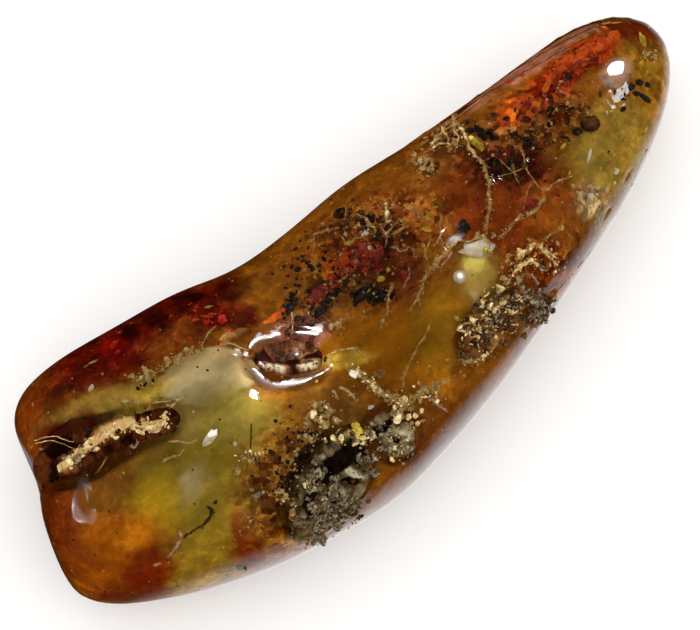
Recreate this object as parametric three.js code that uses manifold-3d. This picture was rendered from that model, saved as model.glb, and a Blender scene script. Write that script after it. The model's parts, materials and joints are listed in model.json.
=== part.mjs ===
// A tumbled amber pebble lying on its flatter side, in millimetres. X runs from the broad lobed end to the
// rounded tip, Y from the steep near edge to the far edge, and Z up from the surface that it rests on.
import * as THREE from 'three';
import { mergeVertices } from 'three/addons/utils/BufferGeometryUtils.js';
import { ImprovedNoise } from 'three/addons/math/ImprovedNoise.js';
import Module from 'manifold-3d';

// The pebble's section: how square its near and far sides are, where 2 is an ellipse
const NEAR_SQUARENESS = 2.7;
const FAR_SQUARENESS = 2.25;

// The slow swells that tumbling leaves on the skin
const SWELL_HEIGHT = 0.22;
const SWELL_LENGTH = 6.5;

// The lumps in a ragged wall, as a share of the hollow's half size
const LUMP_LENGTH = 0.45;

// Rings along the pebble, facets round it, and how finely a filled hollow and an open dent are faceted
const RING_COUNT = 66;
const SIDE_COUNT = 29;
const HOLLOW_DETAIL = 3;
const DENT_DETAIL = 2;

// Air left between the amber and what is lodged in it, and how far that lies below the skin
const GAP = 0.4;
const SINK = 0.3;

// A block larger than the pebble, whose underside trims the flat that it rests on
const TRIM = { length: 60, width: 40, height: 20 };

// One section: the near and far ends of its widest line, then the heights of its crest and underside
const station = (near, far, crest, belly) => ({
  near: new THREE.Vector3(...near),
  far: new THREE.Vector3(...far),
  heights: new THREE.Vector2(crest, belly),
});

const STATIONS = [
  station([-23.9, 1.9, 4.6], [-23.9, 1.9, 4.6], 4.6, 4.6),
  station([-24.7, -0.6, 4.5], [-23.3, 3.4, 4.8], 6.6, 2.9),
  station([-24.9, -2.5, 4.3], [-22.3, 5.4, 5.0], 8.1, 1.6),
  station([-23.6, -4.3, 4.3], [-21.7, 7.8, 5.2], 9.2, 0.8),
  station([-21.2, -5.9, 4.4], [-20.1, 9.1, 5.3], 10.1, 0.1),
  station([-18.0, -7.5, 4.4], [-17.5, 9.4, 5.2], 10.8, -0.4),
  station([-14.0, -8.8, 4.4], [-13.7, 9.0, 5.1], 11.3, -0.6),
  station([-9.5, -9.7, 4.5], [-9.5, 8.3, 5.0], 11.3, -0.6),
  station([-5.0, -10.1, 4.6], [-5.2, 7.2, 5.0], 10.9, -0.6),
  station([-1.0, -9.6, 4.6], [-1.8, 6.9, 5.1], 10.5, -0.5),
  station([3.5, -8.6, 4.6], [3.0, 7.1, 5.1], 10.3, -0.4),
  station([8.0, -7.3, 4.6], [7.5, 6.7, 5.1], 10.1, -0.3),
  station([12.5, -5.9, 4.6], [12.2, 6.3, 5.1], 9.8, 0.0),
  station([17.0, -4.4, 4.6], [17.0, 6.1, 5.0], 9.2, 0.5),
  station([20.6, -2.8, 4.6], [20.8, 5.9, 4.9], 8.4, 1.1),
  station([23.5, -0.6, 4.6], [23.4, 5.1, 4.8], 7.3, 2.0),
  station([25.0, 1.2, 4.6], [25.0, 3.9, 4.7], 6.0, 3.2),
  station([25.5, 2.6, 4.6], [25.5, 2.6, 4.6], 4.6, 4.6),
];

// A hollow: the two ends of its long axis on the skin, the way it faces, its width, depth and raggedness
const hollow = (from, to, facing, width, depth, rag) => ({ from, to, facing, width, depth, rag });

const PIT = [hollow([-6.6, -6.6, 10.4], [-12.5, -9.0, 6.9], [-0.1, -0.7, 0.7], 4.3, 1.9, 0.24)];
const KNOB_PIT = [hollow([-4.7, -6.5, 10.2], [-4.0, -9.2, 8.2], [0, -0.6, 0.8], 2.3, 1.4, 0.2)];
const EYE = [hollow([-8.5, 1.2, 11.1], [-4.2, -2.0, 10.8], [0.12, 0, 1], 2.5, 0.95, 0.12)];
const CLEFT = [
  hollow([-23.2, 4.4, 8.6], [-18.2, 2.8, 10.7], [-0.3, 0.2, 0.9], 2.2, 2.1, 0.2),
  hollow([-20.4, 3.4, 10.2], [-15.4, 1.8, 11.0], [-0.1, 0, 1], 1.9, 1.4, 0.2),
  hollow([-17.4, 2.4, 10.8], [-13.8, 0.8, 11.1], [-0.1, 0, 1], 1.7, 1.2, 0.2),
];
const NOTCH = [
  hollow([2.2, -6.9, 9.1], [5.6, -6.1, 9.1], [0.15, -0.5, 0.85], 2.3, 1.2, 0.25),
  hollow([4.4, -6.6, 8.9], [7.6, -5.6, 9.1], [0.15, -0.5, 0.85], 2.1, 1.1, 0.25),
];
const OPEN_DENTS = [
  hollow([-23.5, 4.3, 3.0], [-22.6, 4.2, 9.2], [-0.95, 0.3, 0.2], 1.5, 0.9, 0.15),
  hollow([-20.8, 2.0, 10.2], [-22.7, -1.6, 9.8], [-0.4, 0, 0.9], 1.5, 0.4, 0.04),
  hollow([5.1, -0.4, 10.15], [7.6, -1.7, 10.1], [0, 0, 1], 2.0, 0.4, 0.05),
  hollow([10.3, 0.9, 9.85], [12.7, -0.2, 9.75], [0.1, 0, 1], 1.9, 0.4, 0.05),
  hollow([6.6, -7.6, 6.7], [9.7, -6.6, 6.9], [0.25, -0.95, 0.2], 0.9, 0.8, 0.1),
  hollow([14.3, -5.2, 6.6], [16.0, -4.7, 6.8], [0.3, -0.9, 0.3], 0.5, 0.45, 0.08),
  hollow([16.8, -4.3, 6.9], [18.8, -3.6, 6.7], [0.3, -0.9, 0.3], 0.55, 0.5, 0.08),
];

// A swelling of the skin, given as a hollow is, whose depth is how far it stands out
const LOBE = hollow([5.8, -5.4, 9.0], [11.2, -4.7, 8.6], [0.2, -0.6, 0.75], 3.6, 0.65, 0.05);

// The thin layered ledge along the far edge: its angle round the section, the radius of each layer, where
// along the pebble it starts and ends, and how proud of the skin it stands halfway
const LEDGES = [
  { angle: 19, radius: 0.42, start: 0.62, end: 0.91, proud: 0.2 },
  { angle: 33, radius: 0.3, start: 0.66, end: 0.87, proud: 0.12 },
];
const LEDGE_STEPS = 16;
const LEDGE_SIDES = 5;
const LEDGE_END_DEPTH = 1.3;

const AMBER = { color: 0x8a4c0e, roughness: 0.05, metalness: 0 };
const MATRIX = { color: 0x8b8474, roughness: 0.95, metalness: 0 };
const BARK = { color: 0x6b4423, roughness: 0.85, metalness: 0 };
const CRUST = { color: 0x7c5230, roughness: 0.9, metalness: 0 };

const wasm = await Module();
wasm.setup();
const noise = new ImprovedNoise();

// Lumpiness of a surface at a point, between about -1 and 1, with lumps of the given size
const lumpiness = (point, size) => noise.noise(point.x / size, point.y / size, point.z / size);

// The geometry with its shared vertices merged, and nothing kept but their positions
function bare(geometry) {
  geometry.deleteAttribute('normal');
  geometry.deleteAttribute('uv');
  return mergeVertices(geometry);
}

// Moves every vertex to what move gives for its place and its normal
function reshape(geometry, move) {
  geometry.computeVertexNormals();
  const { position, normal } = geometry.attributes;
  const point = new THREE.Vector3();
  const outward = new THREE.Vector3();
  for (let i = 0; i < position.count; i += 1) {
    point.fromBufferAttribute(position, i);
    outward.fromBufferAttribute(normal, i);
    point.copy(move(point, outward));
    position.setXYZ(i, point.x, point.y, point.z);
  }
  geometry.deleteAttribute('normal');
  return geometry;
}

// A solid that can be joined and cut, and the way back to a geometry
function solidOf(geometry) {
  const vertProperties = Float32Array.from(geometry.attributes.position.array);
  const triVerts = Uint32Array.from(geometry.index.array);
  return new wasm.Manifold(new wasm.Mesh({ numProp: 3, vertProperties, triVerts }));
}

function geometryOf(solid) {
  const { vertProperties, triVerts } = solid.getMesh();
  const geometry = new THREE.BufferGeometry();
  geometry.setAttribute('position', new THREE.BufferAttribute(vertProperties, 3));
  geometry.setIndex(new THREE.BufferAttribute(triVerts, 1));
  geometry.computeVertexNormals();
  return geometry;
}

const nearLine = new THREE.CatmullRomCurve3(STATIONS.map((s) => s.near));
const farLine = new THREE.CatmullRomCurve3(STATIONS.map((s) => s.far));
const heightLine = new THREE.SplineCurve(STATIONS.map((s) => s.heights));

// Squares up a round section: a sine or cosine raised to a power, with its sign kept
const squared = (value, squareness) => Math.sign(value) * Math.abs(value) ** (2 / squareness);

// A point of the plain skin, at a share of the pebble's length and an angle round its section
function skinPoint(share, angle) {
  const near = nearLine.getPoint(share);
  const far = farLine.getPoint(share);
  const { x: crest, y: belly } = heightLine.getPoint(share);
  const across = Math.cos(angle);
  const squareness = across < 0 ? NEAR_SQUARENESS : FAR_SQUARENESS;
  const point = near.lerp(far, 0.5 + 0.5 * squared(across, squareness));
  const up = squared(Math.sin(angle), squareness);
  point.z += up * (up > 0 ? crest - point.z : point.z - belly);
  return point;
}

// The whole pebble before anything is broken out of it, drawn in by inset: a sphere moved to the stations
function pebble(inset) {
  const sphere = bare(new THREE.SphereGeometry(1, SIDE_COUNT, RING_COUNT));
  const skin = reshape(sphere, (point) => {
    const share = 1 - Math.acos(THREE.MathUtils.clamp(point.y, -1, 1)) / Math.PI;
    return skinPoint(share, Math.atan2(point.x, point.z));
  });
  return solidOf(reshape(skin, (point, outward) => {
    const swell = SWELL_HEIGHT * lumpiness(point, SWELL_LENGTH);
    return point.addScaledVector(outward, swell - inset);
  }));
}

// The ragged ellipsoid that a hollow or a swelling is, drawn in by inset
function ellipsoid({ from, to, facing, width, depth, rag }, detail, inset) {
  const start = new THREE.Vector3(...from);
  const end = new THREE.Vector3(...to);
  const along = end.clone().sub(start);
  const across = new THREE.Vector3(...facing).cross(along).normalize();
  const upward = along.clone().cross(across).normalize();
  const ball = bare(new THREE.IcosahedronGeometry(1, detail));
  const halves = new THREE.Vector3(along.length() / 2, width / 2, depth).subScalar(inset);
  const shape = reshape(ball, (point) => {
    const bulge = 1 + rag * lumpiness(point.clone().add(start), LUMP_LENGTH);
    return point.multiply(halves).multiplyScalar(bulge);
  });
  shape.applyMatrix4(new THREE.Matrix4().makeBasis(along.clone().normalize(), across, upward));
  shape.translate(...start.lerp(end, 0.5).toArray());
  return solidOf(shape);
}

// Several hollows as one solid
const hollowsAsOne = (parts, detail = HOLLOW_DETAIL, inset = 0) => parts
  .map((part) => ellipsoid(part, detail, inset))
  .reduce((whole, part) => whole.add(part));

// One layer of the ledge, a bead whose two ends dive into the skin
function ledge({ angle, radius, start, end, proud }) {
  const places = Array.from({ length: LEDGE_STEPS + 1 }, (_, i) => i / LEDGE_STEPS);
  const route = new THREE.CatmullRomCurve3(places.map((place) => {
    const share = THREE.MathUtils.lerp(start, end, place);
    const rim = skinPoint(share, THREE.MathUtils.degToRad(angle));
    const inward = skinPoint(share, Math.PI / 2).setZ(rim.z).sub(rim);
    const rise = Math.sqrt(Math.sin(Math.PI * place));
    return rim.add(inward.setLength(THREE.MathUtils.lerp(LEDGE_END_DEPTH * radius, radius - proud, rise)));
  }));
  const section = new THREE.Shape().absarc(0, 0, radius, 0, 2 * Math.PI);
  return solidOf(bare(new THREE.ExtrudeGeometry(section, {
    steps: LEDGE_STEPS,
    curveSegments: LEDGE_SIDES,
    extrudePath: route,
  })));
}

const trimBlock = bare(new THREE.BoxGeometry(TRIM.length, TRIM.width, TRIM.height));
const aboveGround = solidOf(trimBlock.translate(0, 0, TRIM.height / 2));
const amber = LEDGES.reduce((body, bead) => body.add(ledge(bead)), pebble(0).add(hollowsAsOne([LOBE])))
  .intersect(aboveGround)
  .subtract(hollowsAsOne([...PIT, ...KNOB_PIT, ...EYE, ...CLEFT, ...NOTCH]))
  .subtract(hollowsAsOne(OPEN_DENTS, DENT_DETAIL));

// What is lodged in a hollow fills it up to just below the skin
const sunkenPebble = pebble(SINK);
const lodged = (parts) => hollowsAsOne(parts, HOLLOW_DETAIL, GAP).intersect(sunkenPebble);

const SUBPARTS = [
  ['amber', amber, AMBER],
  ['pit_matrix', lodged(PIT), MATRIX],
  ['knob_matrix', lodged(KNOB_PIT), MATRIX],
  ['cleft_bark', lodged(CLEFT), BARK],
  ['notch_crust', lodged(NOTCH), CRUST],
  ['dimple_bark', lodged(EYE), BARK],
];

// The origin is the middle of the underside
const reach = new THREE.Box3().setFromBufferAttribute(geometryOf(amber).attributes.position);
const middle = reach.getCenter(new THREE.Vector3());

const group = new THREE.Group();
group.position.set(-middle.x, -middle.y, 0);
for (const [name, solid, finish] of SUBPARTS) {
  const mesh = new THREE.Mesh(geometryOf(solid), new THREE.MeshStandardMaterial(finish));
  mesh.name = name;
  group.add(mesh);
}

export default group;
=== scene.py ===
"""A tumbled amber pebble: polished see-through resin over cloudy flows, with grains, rootlets and pits."""

import json
import logging
import math
import random
from dataclasses import dataclass
from enum import Enum
from functools import cache, partial

import bmesh
import bpy
import numpy as np
from mathutils import Euler, Matrix, Vector, noise
from mathutils.bvhtree import BVHTree
from mathutils.kdtree import KDTree

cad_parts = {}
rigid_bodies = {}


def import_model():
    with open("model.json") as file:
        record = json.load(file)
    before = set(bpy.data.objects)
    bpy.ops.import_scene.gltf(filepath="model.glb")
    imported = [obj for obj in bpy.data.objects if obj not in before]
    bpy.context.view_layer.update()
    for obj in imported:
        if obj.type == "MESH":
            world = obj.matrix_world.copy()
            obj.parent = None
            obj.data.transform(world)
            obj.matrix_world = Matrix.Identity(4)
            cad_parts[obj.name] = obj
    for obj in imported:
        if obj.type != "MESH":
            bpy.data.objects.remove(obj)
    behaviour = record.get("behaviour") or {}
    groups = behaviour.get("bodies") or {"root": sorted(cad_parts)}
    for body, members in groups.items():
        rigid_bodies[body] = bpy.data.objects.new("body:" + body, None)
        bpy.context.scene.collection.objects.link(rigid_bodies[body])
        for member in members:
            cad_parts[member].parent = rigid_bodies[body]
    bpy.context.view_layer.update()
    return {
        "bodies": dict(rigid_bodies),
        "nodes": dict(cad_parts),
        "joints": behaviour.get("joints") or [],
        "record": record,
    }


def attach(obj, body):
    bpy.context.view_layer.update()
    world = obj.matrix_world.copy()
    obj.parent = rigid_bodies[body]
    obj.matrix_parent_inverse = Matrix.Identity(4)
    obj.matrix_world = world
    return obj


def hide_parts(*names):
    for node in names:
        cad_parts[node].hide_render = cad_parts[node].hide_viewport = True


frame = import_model()

log = logging.getLogger("amber")

MM = 0.001

# How packed flakes tint what they lie in, from the darkest flake to the lightest
FLAKE_TINTS = (
    (0.0, (0.3, 0.2, 0.16)),
    (0.25, (0.7, 0.45, 0.35)),
    (0.5, (1.0, 0.85, 0.7)),
    (0.75, (1.25, 1.2, 1.0)),
    (1.0, (1.9, 1.85, 1.7)),
)

# Noise seldom strays past these
NOISE_SPAN = (0.32, 0.68)

# A mesh's records of how pale each place is, and of how far its polish is worn, both from 0 to 1. On lodged
# matter the paleness also carries painted shade, darker in hollows and holes and paler on lumps
RELIEF = "relief"
WORN = "worn"
BODY = "root"

# A shader without gloss
MATTE = {"Roughness": 0.9, "Specular IOR Level": 0.0}

# Sockets of a colour Mix node, which share their names with its other sockets
MIX_A, MIX_B, MIX_OUT = 6, 7, 2

# How fast amber takes up red, green and blue light, per metre of path, and its refraction
AMBER_UPTAKE = (42.0, 105.0, 300.0)
AMBER_IOR = 1.54

# The share of soft light that the skin lets in and out again, and the share that it throws back inside
SKIN_PASSES = 0.36
SKIN_RETURNS = 0.6

# The way of the light through what lies over a surface, in its depths, and the palest that a surface gets
LIGHT_PATH = 2.2
PALEST = 0.95


def linear(code: str) -> tuple[float, float, float, float]:
    """Turn an sRGB hex colour to a linear one.

    Args:
        code: the colour as "#rrggbb".

    Returns:
        Linear red, green and blue, and an alpha of 1.
    """
    parts = [int(code[i : i + 2], 16) / 255 for i in (1, 3, 5)]
    curved = [p / 12.92 if p <= 0.04045 else ((p + 0.055) / 1.055) ** 2.4 for p in parts]
    return (*curved, 1.0)


def under_amber(code: str, depth_mm: float) -> tuple[float, float, float, float]:
    """Find the colour of a surface that looks like a given one when seen through amber.

    Args:
        code: the colour that the eye sees, as "#rrggbb".
        depth_mm: how much amber lies over the surface.

    Returns:
        The linear colour of the surface itself.
    """
    path = LIGHT_PATH * depth_mm * MM
    seen = [c * math.exp(rate * path) for c, rate in zip(linear(code), AMBER_UPTAKE)]
    own = [min(PALEST, c / (SKIN_PASSES + SKIN_RETURNS * c)) for c in seen]
    return (*own, 1.0)


def add_node(tree, kind: str, values: dict | None = None, links: dict | None = None, **settings):
    """Add a node with its settings, socket values and links.

    Args:
        tree: the node tree that it goes in.
        kind: the node's type name, after "ShaderNode".
        values: socket name or number to its value.
        links: socket name or number to the output that feeds it.
        settings: the node's own properties.

    Returns:
        The node.
    """
    made = tree.nodes.new("ShaderNode" + kind)
    for name, value in settings.items():
        setattr(made, name, value)
    for name, value in (values or {}).items():
        made.inputs[name].default_value = value
    for name, source in (links or {}).items():
        tree.links.new(source, made.inputs[name])
    return made


def new_material(name: str, values: dict) -> tuple[bpy.types.Material, bpy.types.NodeTree, bpy.types.Node]:
    """Start a material.

    Args:
        name: its name.
        values: the values of its shader's sockets.

    Returns:
        The material, its node tree and its shader.
    """
    material = bpy.data.materials.new(name)
    material.use_nodes = True
    shader = material.node_tree.nodes["Principled BSDF"]
    for socket, value in values.items():
        shader.inputs[socket].default_value = value
    return material, material.node_tree, shader


def new_object(name: str, data: bpy.types.ID) -> bpy.types.Object:
    """Put a mesh, lamp or camera in the scene."""
    made = bpy.data.objects.new(name, data)
    bpy.context.scene.collection.objects.link(made)
    return made


def smoothstep(low: float, high: float, value: np.ndarray) -> np.ndarray:
    """Rise smoothly from 0 at low to 1 at high, for each value."""
    share = np.clip((value - low) / (high - low), 0, 1)
    return share * share * (3 - 2 * share)


@dataclass(frozen=True)
class PhotoView:
    """The viewing angle of the photograph, and the way from its pixels to the pebble."""

    azimuth_deg: float = -39.0
    elevation_deg: float = 76.0
    distance_mm: float = 420.0
    mm_per_px: float = 0.0617
    aim_mm: tuple[float, float, float] = (-1.275, 0.883, 4.746)
    centre_px: tuple[float, float] = (350.0, 315.0)
    width_px: int = 700
    sensor_mm: float = 36.0

    @property
    def back(self) -> Vector:
        """The direction from the pebble to the camera."""
        a, e = math.radians(self.azimuth_deg), math.radians(self.elevation_deg)
        return Vector((math.sin(a) * math.cos(e), -math.cos(a) * math.cos(e), math.sin(e)))

    @property
    def place(self) -> Vector:
        """Where the camera stands, in metres."""
        return (Vector(self.aim_mm) + self.back * self.distance_mm) * MM

    @property
    def frame(self) -> Matrix:
        """The picture's own axes as columns: to its right, up it and out of it."""
        a = math.radians(self.azimuth_deg)
        right = Vector((math.cos(a), math.sin(a), 0))
        return Matrix((right, self.back.cross(right), self.back)).transposed()

    def ray(self, px: tuple[float, float]) -> Vector:
        """Find the direction in which a pixel looks.

        Args:
            px: the pixel, in the photograph's own frame.

        Returns:
            A unit vector from the camera.
        """
        across = (px[0] - self.centre_px[0]) * self.mm_per_px
        along = (self.centre_px[1] - px[1]) * self.mm_per_px
        return (self.frame @ Vector((across, along, -self.distance_mm))).normalized()

    def flat(self, points: np.ndarray) -> np.ndarray:
        """Project points, in metres, on the picture's plane, in millimetres from its middle."""
        seen = (points - np.array(self.place)) @ np.array(self.frame)
        return seen[:, :2] / -seen[:, 2:] * self.distance_mm

    def flat_px(self, px: tuple[float, float]) -> np.ndarray:
        """Find a pixel's place on the picture's plane, in millimetres from its middle."""
        return np.array([px[0] - self.centre_px[0], self.centre_px[1] - px[1]]) * self.mm_per_px

    def reach(
        self, points: np.ndarray, px: tuple[float, float], half_mm: tuple[float, float], turn_deg: float
    ) -> np.ndarray:
        """Measure how far points look from a pixel, in half sizes of an ellipse round it.

        Args:
            points: the points, in metres.
            px: the ellipse's middle.
            half_mm: its half axes.
            turn_deg: how far its first axis is turned from the picture's right.

        Returns:
            0 at the middle and 1 on the ellipse, for each point.
        """
        offset = self.flat(points) - self.flat_px(px)
        turn = math.radians(turn_deg)
        along = offset[:, 0] * math.cos(turn) + offset[:, 1] * math.sin(turn)
        across = offset[:, 1] * math.cos(turn) - offset[:, 0] * math.sin(turn)
        return np.hypot(along / half_mm[0], across / half_mm[1])

    def off_route(self, points: np.ndarray, route: tuple[tuple[float, float], ...]) -> np.ndarray:
        """Measure how far points look from a line through pixels.

        Args:
            points: the points, in metres.
            route: the line's pixels.

        Returns:
            The distance in the picture's plane, in millimetres, for each point.
        """
        seen = self.flat(points)
        corners = [self.flat_px(px) for px in route]
        nearest = np.full(len(points), np.inf)
        for start, end in zip(corners, corners[1:]):
            way = end - start
            share = np.clip((seen - start) @ way / (way @ way), 0, 1)
            nearest = np.minimum(nearest, np.linalg.norm(seen - start - share[:, None] * way, axis=1))
        return nearest

    def build(self) -> bpy.types.Object:
        """Make the camera and give it to the scene."""
        data = bpy.data.cameras.new("camera")
        data.sensor_width = self.sensor_mm
        data.lens = self.sensor_mm * self.distance_mm / (self.width_px * self.mm_per_px)
        data.clip_start, data.clip_end = 0.01, 10.0
        camera = new_object("camera", data)
        camera.location = self.place
        camera.rotation_mode = "QUATERNION"
        camera.rotation_quaternion = (-self.back).to_track_quat("-Z", "Y")
        bpy.context.scene.camera = camera
        return camera


class MeshWork:
    """Ways to turn one mesh into a finer or smoother one."""

    @staticmethod
    def remeshed(mesh: bpy.types.Mesh, voxel_mm: float) -> bpy.types.Mesh:
        """Rebuild a closed mesh from even quads.

        Args:
            mesh: the mesh to start from.
            voxel_mm: the side of a quad.

        Returns:
            A new mesh.
        """
        holder = new_object("holder", mesh.copy())
        remesh = holder.modifiers.new("remesh", "REMESH")
        remesh.mode = "VOXEL"
        remesh.voxel_size = voxel_mm * MM
        graph = bpy.context.evaluated_depsgraph_get()
        made = bpy.data.meshes.new_from_object(holder.evaluated_get(graph))
        bpy.data.objects.remove(holder)
        return made

    @staticmethod
    def points(mesh: bpy.types.Mesh) -> np.ndarray:
        """Read a mesh's vertices, in metres."""
        flat = np.empty(len(mesh.vertices) * 3)
        mesh.vertices.foreach_get("co", flat)
        return flat.reshape(-1, 3)

    @staticmethod
    def normals(mesh: bpy.types.Mesh) -> np.ndarray:
        """Read the normals at a mesh's vertices."""
        flat = np.empty(len(mesh.vertices) * 3)
        mesh.vertex_normals.foreach_get("vector", flat)
        return flat.reshape(-1, 3)

    @staticmethod
    def edges(mesh: bpy.types.Mesh) -> np.ndarray:
        """Read a mesh's edges as pairs of vertex numbers."""
        flat = np.empty(len(mesh.edges) * 2, dtype=np.int64)
        mesh.edges.foreach_get("vertices", flat)
        return flat.reshape(-1, 2)

    @staticmethod
    def place(mesh: bpy.types.Mesh, points: np.ndarray) -> None:
        """Write a mesh's vertices."""
        mesh.vertices.foreach_set("co", points.ravel())
        mesh.update()

    @staticmethod
    def relaxed(values: np.ndarray, edges: np.ndarray, rounds: int) -> np.ndarray:
        """Draw each vertex's values towards the mean of its neighbours', over and over.

        Args:
            values: one row for each vertex.
            edges: pairs of vertex numbers.
            rounds: how many times.

        Returns:
            The new values.
        """
        count = len(values)
        one, two = edges[:, 0], edges[:, 1]
        degree = np.bincount(edges.ravel(), minlength=count)
        for _ in range(rounds):
            sums = [
                np.bincount(one, column[two], count) + np.bincount(two, column[one], count)
                for column in values.T
            ]
            values = 0.5 * values + 0.5 * np.stack(sums, axis=1) / degree[:, None]
        return values


def fractal(points_mm: np.ndarray, size_mm: float, seed: int, octaves: int = 3) -> np.ndarray:
    """Sample smooth three-dimensional noise.

    Args:
        points_mm: where, in millimetres.
        size_mm: the size of its largest lumps.
        seed: which noise of many.
        octaves: how many finer layers are added.

    Returns:
        One value for each point, between about -1 and 1.
    """
    shift = Vector((seed * 17.3, seed * 5.7, seed * 11.1))
    return np.array([
        noise.fractal(Vector(p) / size_mm + shift, 1.0, 2.0, octaves, noise_basis="PERLIN_ORIGINAL")
        for p in points_mm
    ])


def piece_of(name: str, mesh: bpy.types.Mesh, finish: bpy.types.Material) -> bpy.types.Object:
    """Make a piece that rides on the pebble.

    Args:
        name: the piece's name.
        mesh: its mesh, in metres.
        finish: its material.

    Returns:
        The piece.
    """
    mesh.materials.clear()
    mesh.materials.append(finish)
    piece = new_object(name, mesh)
    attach(piece, BODY)
    log.info("%s: %d vertices", name, len(mesh.vertices))
    return piece


@dataclass(frozen=True)
class PolishedAmber:
    """Fossil resin, tumbled and polished: wet-looking gloss over a body that deepens from honey to brown."""

    name: str = "fossil_resin_tumbled"
    tint: tuple[float, float, float, float] = (1.0, 0.97, 0.9, 1.0)
    roughness: float = 0.035
    worn_roughness: float = 0.38
    ripple_mm: float = 1.1
    ripple_height_mm: float = 0.006

    def build(self) -> bpy.types.Material:
        """Build the clear resin, whose colour comes only from the depth that light crosses."""
        material, tree, shader = new_material(
            self.name, {"Base Color": self.tint, "Transmission Weight": 1.0, "IOR": AMBER_IOR}
        )
        worn = add_node(tree, "Attribute", attribute_name=WORN)
        gloss = add_node(
            tree, "MapRange",
            {"To Min": self.roughness, "To Max": self.worn_roughness},
            {"Value": worn.outputs["Fac"]},
        )
        tree.links.new(gloss.outputs[0], shader.inputs["Roughness"])
        where = add_node(tree, "TexCoord")
        ripple = add_node(
            tree, "TexNoise",
            {"Scale": 1 / (self.ripple_mm * MM), "Detail": 3.0},
            {"Vector": where.outputs["Object"]},
        )
        bump = add_node(
            tree, "Bump",
            {"Strength": 1.0, "Distance": self.ripple_height_mm * MM},
            {"Height": ripple.outputs[0]},
        )
        tree.links.new(bump.outputs["Normal"], shader.inputs["Normal"])
        density = max(AMBER_UPTAKE)
        colour = tuple(1 - rate / density for rate in AMBER_UPTAKE)
        inside = add_node(tree, "VolumeAbsorption", {"Color": (*colour, 1.0), "Density": density})
        tree.links.new(inside.outputs["Volume"], tree.nodes["Material Output"].inputs["Volume"])
        return material


@dataclass(frozen=True)
class Mottled:
    """Dull natural matter whose colour wanders between a few shades, with a grain that stands in relief."""

    name: str
    shades: tuple[str, ...]
    patch_mm: float
    grain_mm: float
    relief_mm: float
    roughness: float = 0.8
    shine: float = 0.2
    cover_mm: float = 0.0
    by_relief: float = 0.0

    def build(self) -> bpy.types.Material:
        """Build the material: a shade ramp over slow noise, and a bump from fine noise."""
        look = {"Roughness": self.roughness, "Specular IOR Level": self.shine}
        material, tree, shader = new_material(self.name, look)
        where = add_node(tree, "TexCoord")
        patches = add_node(
            tree, "TexNoise",
            {"Scale": 1 / (self.patch_mm * MM), "Detail": 4.0, "Roughness": 0.65},
            {"Vector": where.outputs["Object"]},
        )
        chosen = patches.outputs[0]
        # The relief record carries the matter's pale crests and also painted shade: darker in hollows and
        # holes, paler on lumps
        if self.by_relief:
            relief = add_node(tree, "Attribute", attribute_name=RELIEF)
            mixed = add_node(tree, "Mix", {0: self.by_relief}, {2: chosen, 3: relief.outputs["Fac"]})
            chosen = mixed.outputs[0]
        ramp = add_node(tree, "ValToRGB", links={"Fac": chosen})
        stops = ramp.color_ramp.elements
        first, last = NOISE_SPAN
        for i, shade in enumerate(self.shades):
            at = first + (last - first) * i / (len(self.shades) - 1)
            stop = stops[i] if i < 2 else stops.new(at)
            stop.position = at
            stop.color = under_amber(shade, self.cover_mm) if self.cover_mm else linear(shade)
        tree.links.new(ramp.outputs["Color"], shader.inputs["Base Color"])
        grain = add_node(
            tree, "TexNoise",
            {"Scale": 1 / (self.grain_mm * MM), "Detail": 3.0},
            {"Vector": where.outputs["Object"]},
        )
        bump = add_node(
            tree, "Bump", {"Strength": 1.0, "Distance": self.relief_mm * MM}, {"Height": grain.outputs[0]}
        )
        tree.links.new(bump.outputs["Normal"], shader.inputs["Normal"])
        return material


@dataclass(frozen=True)
class Zone:
    """A soft-edged place in the cloudy resin.

    Its colour is as the eye sees it. It rises towards the skin, and flakes lie packed in it by a share.
    """

    what: str
    px: tuple[float, float]
    half_mm: tuple[float, float]
    colour: str
    turn_deg: float = 0.0
    soft: float = 0.5
    rise_mm: float = 0.0
    packed: float | None = None


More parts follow.
